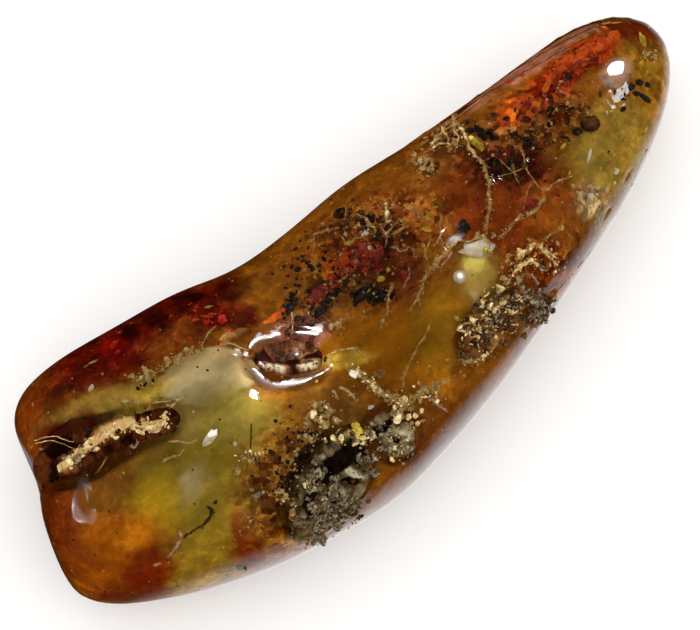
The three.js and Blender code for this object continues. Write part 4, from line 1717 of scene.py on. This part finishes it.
CHIPS = (
    flake("yellow spark", (208, 307), 0.32, 25, (0.25, 0.3), width=0.5, jag=0.6),
    bit("olive dash", (93, 362), 0.36, 35, (0.3, 0.4), form=SPLINTER),
    bit("olive dash behind", (86, 366), 0.2, 35, (0.3, 0.4), form=SPLINTER),
    flake("chip over the red", (349, 243), 0.32, 20, (0.2, 0.3), width=0.8, jag=0.6),
    flake("chip right of the red", (388, 270), 0.18, 70, (0.2, 0.3)),
    flake("chip below", (381, 279), 0.3, 40, (0.3, 0.4), jag=0.6),
    flakes("chips round the clot", (370, 290), 0.144, 19, (24, 12)),
    flakes("chips of the field", (330, 262), 0.108, 35, (50, 34)),
    bit("nodule's yellow side", (486, 250), 0.4, 70, (0.2, 0.3), width=0.6, jag=0.5),
    bit("yellow bit in the crust", (503, 313), 0.26, 30, (0.0, 0.1), jag=0.6),
    flake("flake of the tip", (643, 40), 0.5, 100, (0.3, 0.4), width=0.6, jag=0.5, level=2),
    bit("streak by the root", (477, 144), 0.8, -58, (0.3, 0.4), width=1.2, form=SPLINTER),
    bit("yellow spot of the rim", (646, 129), 0.26, 20, (0.2, 0.3), jag=0.6),
    flakes("chips of the tip", (560, 118), 0.126, 38, (60, 30), 35),
    bit("pale chip right", (561, 228), 0.28, 20, (0.3, 0.4), jag=0.6),
    flakes("chips by the hollow", (432, 222), 0.18, 13, (12, 22)),
    Strew("crown's yellow", (356, 431), 0.2, 7, (8, 5), depth_mm=(-0.1, 0.2)),
)

ROOTLETS = (
    Strand(
        "long root", ((456, 122), (463, 134), (472, 151), (484, 165), (489, 182), (489, 207), (486, 232)),
        0.15, 0.2, 0.16, 0.6, 13, 0.5, 0.5
    ),
    Strand("root crown one", ((432, 145), (440, 134), (450, 126), (457, 112)), 0.14, 0.1, 0.2, 0.6, 5),
    Strand("root crown two", ((430, 150), (441, 144), (452, 146), (459, 137)), 0.11, 0.1, 0.25, 0.6, 4),
    Strand("root crown three", ((441, 128), (447, 136), (450, 147), (446, 153)), 0.1, 0.1, 0.25, 0.6, 3),
    Strand("root crown four", ((456, 112), (454, 124), (458, 138), (455, 150)), 0.09, 0.1, 0.2, 0.6, 3),
    Strand(
        "golden root", ((452, 245), (442, 255), (433, 268), (425, 279), (419, 292), (417, 300)), 0.19, 0.3,
        0.16, 0.6, 12, 0.4, 0.5
    ),
    Strand("golden root's fork", ((418, 298), (420, 305), (423, 313)), 0.06, 0.3, 0.05),
    Strand("golden root's other fork", ((417, 299), (413, 306), (410, 311)), 0.05, 0.3, 0.05),
    Strand(
        "nodule's collar", ((448, 249), (457, 241), (468, 243), (480, 236), (492, 240), (489, 252)), 0.12,
        0.15, 0.16, 0.6, 6
    ),
    Strand(
        "fine root", ((391, 282), (389, 296), (388, 310), (383, 321), (378, 331)), 0.12, 0.3, 0.12, 0.7, 11,
        0.2
    ),
    Strand(
        "lower fibre", ((430, 326), (424, 338), (415, 353), (406, 368), (400, 379)), 0.07, 0.4, 0.1, 0.4, 4,
        0.6
    ),
    Strand(
        "lower fibre's twin", ((418, 350), (409, 362), (404, 378), (402, 390)), 0.06, 0.3, 0.1, 0.5, 3, 0.6
    ),
    Strand(
        "thread to the nodule", ((521, 214), (513, 223), (504, 234), (497, 240)), 0.12, 0.25, 0.16, 0.7, 6
    ),
    Strand("thread over the gap", ((544, 194), (540, 204), (535, 213), (521, 216)), 0.14, 0.25, 0.18, 0.7, 5),
    Strand(
        "loop's left side", ((521, 144), (524, 158), (528, 170), (536, 182), (544, 191)), 0.05, 0.2, 0.12,
        0.3, 0, 0.8
    ),
    Strand(
        "loop's right side", ((544, 191), (552, 184), (562, 179), (573, 176)), 0.06, 0.2, 0.12, 0.3, 0, 0.8
    ),
    Strand("straight hair", ((531, 181), (528, 190), (525, 202)), 0.03, 0.2, 0.04, 0.2, 0, 0.8),
    Strand("hollow hair one", ((500, 160), (508, 168), (518, 176)), 0.03, 0.1, 0.08, 0.2, 4, 0.8),
    Strand("hollow hair two", ((512, 160), (514, 172), (519, 184)), 0.03, 0.1, 0.08, 0.2, 4, 0.8),
    Strand("hollow hair three", ((498, 176), (510, 174), (524, 168)), 0.03, 0.1, 0.08, 0.2, 4, 0.8),
    Strand(
        "thread right of the lump", ((545, 240), (551, 234), (559, 229), (562, 221)), 0.07, 0.3, 0.1, 0.4, 2
    ),
    Strand(
        "lump's upper fibre", ((517, 262), (524, 251), (535, 245), (546, 250), (557, 262)), 0.2, 0.1, 0.2,
        0.6, 13
    ),
    Strand(
        "lump's middle fibre", ((512, 272), (519, 266), (530, 262), (541, 266), (548, 272)), 0.16, 0.1, 0.25,
        0.7, 12
    ),
    Strand("lump's right fibre", ((541, 248), (549, 257), (558, 266)), 0.14, 0.05, 0.1, 0.5, 7),
    Strand("lump's low fibre", ((520, 278), (528, 272), (534, 276)), 0.14, 0.1, 0.2, 0.7, 7),
    Strand("notch's long fibre", ((497, 322), (508, 318), (518, 309), (528, 307)), 0.06, 0.0, 0.2, 0.5, 5),
    Strand("notch's low fibre", ((480, 331), (492, 326), (506, 325), (516, 316)), 0.06, 0.0, 0.2, 0.5, 5),
    Strand("tan curl one", ((388, 203), (386, 212), (389, 222), (384, 228)), 0.2, 0.2, 0.2, 0.6, 4),
    Strand("tan curl two", ((366, 215), (371, 224), (376, 228), (374, 234)), 0.17, 0.2, 0.2, 0.6, 3),
    Strand("tan curl three", ((385, 236), (392, 228), (399, 219)), 0.1, 0.2, 0.12, 0.5, 3),
    Strand("tan curl four", ((393, 233), (401, 230), (408, 227)), 0.12, 0.2, 0.14, 0.5, 3),
    Strand("tan curl five", ((412, 208), (418, 213), (421, 220)), 0.12, 0.2, 0.14, 0.6, 3),
    Strand("tan curl six", ((350, 216), (358, 214), (365, 218)), 0.09, 0.3, 0.14, 0.6, 2),
    Strand("thin strand", ((313, 236), (318, 233), (328, 231), (340, 228)), 0.08, 0.3, 0.1, 0.8, 4),
    Strand("thin strand's foot", ((313, 233), (314, 242), (313, 252)), 0.05, 0.3, 0.1, 0.6, 2),
    Strand("upright strand", ((346, 205), (345, 218), (344, 230)), 0.05, 0.3, 0.08, 0.4),
    Strand("fine curls", ((340, 236), (352, 244), (358, 238), (370, 242)), 0.05, 0.2, 0.3, 0.5, 6),
    Strand("fine curls right", ((392, 246), (402, 254), (408, 246), (414, 258)), 0.05, 0.2, 0.3, 0.5, 6),
    Strand("upright pale line", ((292, 312), (293, 324), (292, 332)), 0.05, 0.2, 0.05, 0.3),
    Strand("golden line up", ((441, 215), (440, 228), (437, 244)), 0.07, 0.2, 0.12, 0.6, 4),
    Strand("golden line down", ((430, 240), (425, 252), (428, 262)), 0.06, 0.2, 0.12, 0.6, 4),
    Strand("edge crust's root", ((216, 326), (207, 334), (201, 345), (202, 352)), 0.08, 0.25, 0.08, 0.5, 2),
    Strand(
        "cleft orange strand", ((34, 440), (46, 438), (58, 437), (74, 443)), 0.03, -0.1, 0.12, 0.3, 2, 0.7
    ),
    Strand(
        "cleft orange strand low", ((36, 444), (50, 441), (64, 444), (76, 449)), 0.025, -0.1, 0.12, 0.3, 0,
        0.7
    ),
    Strand("edge line of the left wall", ((107, 457), (103, 466), (96, 474)), 0.05, 0.4, 0.08, 0.3),
)

TWIGS = (
    Strand("dark hair", ((251, 424), (251, 438), (250, 454)), 0.045, 0.2, 0.02, 0.2, 0, 0.7),
    Strand(
        "twig's upper half", ((209, 508), (212, 517), (203, 524), (194, 530), (184, 538)), 0.1, 0.5, 0.14,
        0.9, 4, 0.6, 0.35
    ),
    Strand("twig's top", ((206, 506), (212, 508), (214, 515)), 0.07, 0.5, 0.1, 0.8, 2, hair_mm=0.3),
    Strand("crack by the cells", ((139, 356), (147, 347), (155, 338)), 0.05, 0.3, 0.06),
    Strand(
        "far ledge's dark line", ((438, 118), (470, 96), (500, 78), (530, 61), (562, 42), (590, 29),
        (612, 23)), 0.05, 0.1, 0.1, 0.5, 0, 0.8
    ),
    Strand(
        "far ledge's second line", ((452, 116), (480, 98), (512, 79), (542, 62), (574, 44), (598, 33)), 0.04,
        0.15, 0.1, 0.5, 0, 0.8
    ),
    Strand(
        "crack of the near rim one", ((646, 150), (641, 162), (635, 176), (629, 192)), 0.09, 0.2, 0.16, 0.9,
        0, 0.6
    ),
    Strand("crack of the near rim two", ((627, 196), (619, 210), (611, 221)), 0.08, 0.2, 0.16, 0.9, 0, 0.6),
    Strand("crack of the near rim three", ((606, 226), (598, 238), (592, 247)), 0.07, 0.2, 0.12, 0.9, 0, 0.6),
    Strand("line under the lobe", ((592, 250), (574, 272), (556, 292)), 0.035, 0.03, 0.04, 0.4, 0, 0.8),
)

PINK_CURLS = (
    Strand(
        "curl under the cleft", ((126, 436), (127, 444), (134, 450), (139, 444), (135, 437), (129, 441),
        (133, 447)), 0.06, 0.15, 0.08, 0.4, 4, 0.8, 0.2
    ),
    Strand(
        "twig's lower half", ((180, 533), (181, 540), (177, 547), (168, 556)), 0.1, 0.45, 0.1, 0.7, 3, 0.6,
        0.3
    ),
    Strand("twig's crumbs", ((162, 563), (158, 565), (154, 566)), 0.09, 0.45, 0.1, 0.9),
    Strand("pink debris one", ((380, 226), (388, 238), (384, 246)), 0.06, 0.2, 0.2, 0.5, 5),
    Strand("pink debris two", ((404, 286), (410, 276), (408, 268)), 0.05, 0.2, 0.16, 0.5, 4),
    Strand("pink debris three", ((452, 252), (446, 262), (440, 270)), 0.06, 0.2, 0.16, 0.5, 6),
    Strand("pink bits right", ((430, 398), (438, 404), (444, 412)), 0.07, 0.2, 0.16, 0.6, 4),
)

GLASSY = (
    bit("ridge bubble", (379, 374), 0.36, 0, (-0.05, 0.0), width=0.7, jag=0.12, level=3, form=BALL),
    bit("cleft bubble", (77, 459), 0.28, 0, (-0.12, -0.08), jag=0.08, level=3, form=BALL),
    bit("cleft second bubble", (86, 440), 0.16, 0, (-0.12, -0.08), jag=0.1, level=2, form=BALL),
    bit("crown bubble", (352, 434), 0.2, 0, (-0.15, -0.1), jag=0.1, level=2, form=BALL),
    flake("arc bubble", (258, 494), 0.4, 20, (0.3, 0.35), width=0.9, jag=0.1, level=2),
)

SILT = (
    Strew("grains over the pit", (334, 512), 0.15, 210, (26, 30), -18, depth_mm=(-0.05, 0.08), jag=0.9),
    Strew("grains left of the cavity", (317, 474), 0.14, 50, (7, 20), -25, depth_mm=(-0.05, 0.1), jag=0.9),
    Strew("grains right of the cavity", (364, 464), 0.14, 40, (9, 18), depth_mm=(-0.05, 0.1), jag=0.9),
    Strew("grains at the pit's tip", (318, 532), 0.15, 60, (12, 18), -20, depth_mm=(-0.05, 0.1), jag=0.9),
    Strew("grains over the knob", (399, 445), 0.12, 80, (20, 18), depth_mm=(-0.05, 0.08), jag=0.9),
    Strew("grains by the slit", (380, 424), 0.12, 40, (18, 8), 40, depth_mm=(-0.05, 0.1), jag=0.9),
    Strew(
        "grains of the near rim's dent", (541, 310), 0.17, 90, (10, 20), -35, depth_mm=(0.0, 0.15), jag=0.9
    ),
    Strew("grains over the notch", (494, 320), 0.13, 40, (38, 20), 45, depth_mm=(-0.05, 0.08), jag=0.9),
    Strew("grains up to the dent", (520, 300), 0.13, 60, (34, 12), 30, depth_mm=(-0.02, 0.15), jag=0.9),
    Strew("grains by the cleft's bubble", (78, 457), 0.12, 30, (10, 8), depth_mm=(-0.05, 0.05), jag=0.9),
)

LODGED = (
    LodgedMatter(
        "pit_sediment", "pit_matrix", "matrix", CEMENTED_SILT,
        swell_mm=0.5, rough_mm=0.6, rough_size_mm=1.0, grit_mm=0.06, grit_size_mm=0.28, seed=31,
        pocks=(
            Pock("upper cavity", (339, 461), (1.5, 0.65), 36, 0.7),
            Pock("cavity's foot", (326, 476), (0.6, 0.45), 60, 0.5),
            Pock("middle hole", (351, 480), (0.5, 0.22), 5, 0.4),
            Pock("left crack", (320, 508), (0.16, 1.0), -25, 0.3),
            Pock("grey matter's crack", (334, 500), (0.12, 0.9), -20, 0.25),
            Pock("short crack", (343, 512), (0.12, 0.5), -40, 0.25),
            Pock("low hole", (322, 538), (0.4, 0.25), 30, 0.3),
        ),
        ridges=(
            Ridge("cream lobe", ((347, 469), (356, 475), (363, 487), (359, 500), (351, 507)), 0.3, 0.15, 0.3),
            Ridge("grey lobe", ((338, 484), (342, 498), (336, 512), (330, 524)), 0.3, 0.1, 0.25),
            Ridge("grey foot", ((322, 500), (326, 516), (320, 530)), 0.25, 0.1, 0.25),
            Ridge(
                "brown right border", ((368, 450), (377, 464), (376, 484), (366, 506), (352, 526)), 0.5, 0.0,
                -0.3
            ),
            Ridge("brown left border", ((318, 470), (312, 490), (308, 515)), 0.3, 0.0, -0.25),
        ),
    ),
    LodgedMatter(
        "knob_sediment", "knob_matrix", "matrix", PALE_SILT,
        swell_mm=0.4, rough_mm=0.35, rough_size_mm=0.8, grit_mm=0.06, grit_size_mm=0.28, seed=33,
        pocks=(
            Pock("slit", (383, 428), (0.8, 0.28), 42, 0.7),
            Pock("knob's hole", (396, 441), (0.24, 0.18), 30, 0.35),
            Pock("knob's foot", (405, 456), (0.7, 0.2), 20, 0.2),
        ),
        ridges=(
            Ridge(
                "knob's ring", ((386, 441), (390, 433), (398, 431), (406, 436), (408, 444), (402, 451),
                (393, 451), (386, 441)), 0.2, 0.12, 0.2
            ),
        ),
    ),
    LodgedMatter(
        "cleft_crust", "cleft_bark", "bark", BLEACHED_BARK,
        swell_mm=0.6, rough_mm=0.2, rough_size_mm=1.7, grit_mm=0.08, grit_size_mm=0.3, seed=35,
        pocks=(
            Pock("dark end", (56, 449), (1.2, 0.5), 8, 0.6),
            Pock("pore by the bubble", (90, 444), (0.2, 0.12), 30, 0.3),
            Pock("pore further up", (118, 431), (0.24, 0.12), 30, 0.3),
            Pock("pore of the lobe", (139, 424), (0.2, 0.1), 10, 0.3),
        ),
        ridges=(
            Ridge("brown below the crust", ((84, 462), (104, 452), (130, 440), (152, 434)), 0.5, -0.1, -0.06),
            Ridge(
                "crust", ((62, 466), (74, 458), (86, 448), (106, 434), (131, 423), (147, 426), (161, 423)),
                0.24, 0.2, 0.4
            ),
            Ridge("orange rim of the dark end", ((36, 440), (52, 436), (70, 437)), 0.16, 0.15, 0.2),
        ),
    ),
    LodgedMatter(
        "eye_bark", "dimple_bark", "bark", SPLIT_BARK,
        swell_mm=0.5, rough_mm=0.3, rough_size_mm=0.9, seed=37,
        pocks=(
            Pock("shade behind the plate", (264, 357), (0.5, 0.25), -30, 0.3),
            Pock("shade between the plates", (292, 362), (0.5, 0.14), 10, 0.3),
            Pock("shade over the long plate", (312, 356), (0.7, 0.14), 14, 0.25),
        ),
        ridges=(
            Ridge("plate", ((270, 368), (283, 371)), 0.3, 0.12, 0.6),
            Ridge("long plate", ((299, 369), (318, 363)), 0.22, 0.12, 0.55),
            Ridge(
                "lower lip", ((256, 364), (266, 375), (284, 380), (304, 378), (321, 370), (332, 359)), 0.16,
                0.2, 0.35
            ),
            Ridge("upper lip", ((254, 356), (268, 347), (292, 342), (316, 341), (332, 347)), 0.16, 0.1, 0.3),
        ),
    ),
    LodgedMatter(
        "notch_grit", "notch_crust", "crust", CRUST,
        swell_mm=0.5, rough_mm=0.4, rough_size_mm=0.9, seed=39,
        ridges=(
            Ridge("cream crest", ((470, 324), (480, 318), (492, 308), (504, 298)), 0.3, 0.15, 0.35),
        ),
    ),
)

LITTERS = (
    Litter(
        "charred_grains", "bark", 11, CHARCOAL, GRAINS, stray=Everywhere("stray soot", 260, 0.07, jag=0.6)
    ),
    Litter(
        "bark_bits", "bark", 12, FLAKED_BARK, BROWN_BITS, stray=Everywhere("stray bark", 160, 0.11, FLAKE)
    ),
    Litter(
        "cream_crumbs", "crust", 13, CRUMBLED_RESIN, CRUMBS, strands=CRUMBS_RIDGES,
        stray=Everywhere("stray crumbs", 420, 0.075)
    ),
    # Painted highlights: its stray glints are white specks that stand in for glints
    Litter("pale_flakes", "crust", 14, NACRE_AND_PAINTED_GLINTS, PALE_FLAKES, stray=Everywhere("stray glints", 90, 0.06, FLAKE)),
    Litter("orange_scales", "amber", 15, ORANGE_SCALES, SCALES),
    Litter("crimson_flakes", "amber", 16, CRIMSON_FLAKES, CRIMSON),
    Litter("red_sparks", "amber", 17, RED_CRACKS, SPARKS),
    Litter("yellow_chips", "amber", 18, YELLOW_CHIPS, CHIPS),
    Litter("rootlets", "bark", 20, ROOT_FIBRE, strands=ROOTLETS),
    Litter("twigs", "bark", 21, BLACK_TWIG, strands=TWIGS),
    Litter("pink_curls", "bark", 22, PINK_SKIN, strands=PINK_CURLS),
    Litter(
        "air_bubbles", "amber", 23, BUBBLE, GLASSY, stray=Everywhere("pinhole bubbles", 120, 0.05, BALL,
        jag=0.05)
    ),
    Litter("silt_grains", "matrix", 24, LOOSE_SILT, SILT),
)


@dataclass(frozen=True)
class Lamp:
    """A small lamp with a snoot, whose mirror image falls on one place of the photograph."""

    name: str
    px: tuple[float, float]
    radius_mm: float
    beam_mm: float
    radiance: float = 26.0
    away_mm: float = 40.0
    lean_deg: tuple[float, float] | None = None
    faint: bool = False


@dataclass
class Studio:
    """A white table under soft light, with small bright lamps that only the gloss shows."""

    skin: Skin
    table_m: float = 3.0
    table_colour: str = "#f1f0ee"
    table_glow: float = 0.2
    room_colour: str = "#ffffff"
    room_light: float = 1.15
    mirrored_light: float = 0.025
    card_mm: float = 400.0
    card_cell_mm: float = 2.0
    card_colour: str = "#0c0a08"
    card_glow: float = 1.15
    card_lift_mm: float = 0.05
    near_glow_mm: float = 17.0
    far_glow_mm: float = 1.5
    foot_step: int = 9
    side_fade_mm: float = 6.0
    end_fade_mm: tuple[float, float] = (-25.0, -16.0)
    lamp_edge: float = 0.5

    LAMPS = (
        Lamp("tip_lamp", (617, 68), 4.0, 11.0, 34.0),
        Lamp("tip_halo", (617, 72), 15.0, 0, 3.0, 60.0, faint=True),
        Lamp("glare_lamp", (617, 94), 4.5, 10.0, 10.0),
        Lamp("eye_lamp", (291, 362), 1.2, 2.8, 6500.0, 60.0, (3.0, 26.0)),
        Lamp("low_glint", (253, 396), 0.9, 1.0, 60.0),
        Lamp("eye_lamp_left", (262, 382), 1.2, 1.5, 5500.0, 60.0, (15.0, 24.0)),
        Lamp("blob_lamp", (268, 343), 1.0, 1.4, 7000.0, 60.0, (8.0, 22.0)),
        Lamp("hollow_glint", (513, 172), 1.7, 0.6, 30.0),
        Lamp("nodule_glint", (455, 238), 1.2, 1.3, 2600.0, 60.0),
        Lamp("end_lamp", (82, 502), 1.2, 2.4, 520.0, 60.0, (-20.0, -3.0)),
    )

    def build(self) -> None:
        """Make the table, the room's light and the lamps."""
        self.build_table()
        self.build_room()
        self.build_card()
        for lamp in self.LAMPS:
            self.hang(lamp)

    def build_table(self) -> None:
        """Lay a plain pale table top under the pebble."""
        look = {"Base Color": linear(self.table_colour), "Emission Color": (1, 1, 1, 1)} | MATTE
        finish = new_material("white_card_matte", look | {"Emission Strength": self.table_glow})[0]
        table = self.square("table", self.table_m, 1, finish)
        table.visible_glossy = False

    @staticmethod
    def square(name: str, side: float, cells: int, finish: bpy.types.Material) -> bpy.types.Object:
        """Lay a flat square round the middle of the frame.

        Args:
            name: its name.
            side: its side, in metres.
            cells: how many cells it has along a side.
            finish: its material.

        Returns:
            The square.
        """
        grid = bmesh.new()
        bmesh.ops.create_grid(grid, x_segments=cells, y_segments=cells, size=side / 2)
        mesh = bpy.data.meshes.new(name)
        grid.to_mesh(mesh)
        grid.free()
        mesh.materials.append(finish)
        return new_object(name, mesh)

    def build_room(self) -> None:
        """Fill the room with even light, dark in the gloss, as tented glossy things are lit."""
        world = bpy.data.worlds.new("room")
        bpy.context.scene.world = world
        world.use_nodes = True
        tree = world.node_tree
        ground = tree.nodes["Background"]
        ground.inputs["Color"].default_value = linear(self.room_colour)
        path = add_node(tree, "LightPath")
        mirrored = add_node(
            tree, "Math",
            operation="SUBTRACT",
            use_clamp=True,
            links={0: path.outputs["Is Glossy Ray"], 1: path.outputs["Is Transmission Ray"]},
        )
        strength = add_node(
            tree, "Mix", {2: self.room_light, 3: self.mirrored_light}, {0: mirrored.outputs[0]}
        )
        tree.links.new(strength.outputs[0], ground.inputs["Strength"])

    def build_card(self) -> None:
        """Lay a dark card round the pebble, whose middle fades to white at the pebble's foot."""
        spots = MeshWork.points(self.skin.mesh)[:: self.foot_step]
        foot = KDTree(len(spots))
        for i, (x, y, _) in enumerate(spots):
            foot.insert((x, y, 0), i)
        foot.balance()

        def whiteness(points: np.ndarray) -> np.ndarray:
            """Fade with the distance from the foot, more slowly on the near side."""
            away = np.array([foot.find(p)[2] for p in points]) / MM
            nearer = 0.25 * points[:, 0] / MM - points[:, 1] / MM
            near = smoothstep(-self.side_fade_mm, self.side_fade_mm, nearer)
            reach = self.far_glow_mm + (self.near_glow_mm - self.far_glow_mm) * near
            return (1 - smoothstep(0, 1, away / reach)) * smoothstep(*self.end_fade_mm, points[:, 0] / MM)

        card = self.card("dark_card", self.card_mm, self.card_cell_mm, whiteness, self.card_glow)
        card.location.z = self.card_lift_mm * MM

    def card(self, name: str, side_mm: float, cell_mm: float, whiteness, glow: float) -> bpy.types.Object:
        """Make a dark square card that only the gloss mirrors, and that glows here and there.

        Args:
            name: its name.
            side_mm: its side.
            cell_mm: the side of its cells.
            whiteness: finds how strongly it glows at each of its points, from 0 to 1.
            glow: its radiance where that is 1.

        Returns:
            The card, lying flat round the middle of the frame.
        """
        look = {"Base Color": linear(self.card_colour), "Emission Strength": glow}
        finish, tree, shader = new_material(f"{name}_white_to_black", look | MATTE)
        finish.cycles.emission_sampling = "NONE"
        fade = add_node(tree, "Attribute", attribute_name=RELIEF)
        tree.links.new(fade.outputs["Color"], shader.inputs["Emission Color"])
        card = self.square(name, side_mm * MM, round(side_mm / cell_mm), finish)
        white = whiteness(MeshWork.points(card.data))
        card.data.attributes.new(RELIEF, "FLOAT", "POINT").data.foreach_set("value", white)
        self.only_mirrored(card)
        return card

    @staticmethod
    def only_mirrored(thing: bpy.types.Object) -> None:
        """Hide a thing from all but mirrored light."""
        for sight in ("camera", "diffuse", "transmission", "volume_scatter", "shadow"):
            setattr(thing, f"visible_{sight}", False)

    def hang(self, lamp: Lamp) -> None:
        """Hang a small soft lamp, or a faint round card, that shows only as a highlight.

        Args:
            lamp: where its highlight falls, and its looks.
        """
        place, normal = self.skin.at(lamp.px)
        if lamp.lean_deg:
            right, up = (math.tan(math.radians(lean)) for lean in lamp.lean_deg)
            normal = (self.skin.view.frame @ Vector((right, up, 1))).normalized()
        sight = self.skin.view.ray(lamp.px)
        toward = sight - normal * 2 * sight.dot(normal)
        if lamp.faint:
            def whiteness(points: np.ndarray) -> np.ndarray:
                """Fade from the middle of the card outwards."""
                return 1 - smoothstep(0.35, 1, np.linalg.norm(points, axis=1) / (lamp.radius_mm * MM))

            hung = self.card(
                lamp.name, 2 * lamp.radius_mm, lamp.radius_mm / 8, whiteness, lamp.radiance
            )
        else:
            data = bpy.data.lights.new(lamp.name, "SPOT")
            data.shadow_soft_size = lamp.radius_mm * MM
            data.energy = lamp.radiance * (2 * math.pi * data.shadow_soft_size) ** 2
            data.spot_size = 2 * math.atan(lamp.beam_mm / lamp.away_mm)
            data.spot_blend = self.lamp_edge
            hung = new_object(lamp.name, data)
            self.only_mirrored(hung)
            hung.visible_shadow = True
        hung.location = place + toward * lamp.away_mm * MM
        hung.rotation_mode = "QUATERNION"
        hung.rotation_quaternion = toward.to_track_quat("Z", "Y")


def main() -> None:
    """Build the pebble, from its skin to what lies in it, then the studio."""
    logging.basicConfig(level=logging.INFO, format="%(name)s %(message)s")
    bpy.context.scene.view_settings.view_transform = "Standard"
    view = PhotoView()
    view.build()
    skin = Skin(view)
    AmberBody(skin)
    CloudyFlow(skin).build()
    for lodged in LODGED:
        lodged.build(skin)
    for litter in LITTERS:
        litter.build(skin)
    Studio(skin).build()


if __name__ == "__main__":
    main()
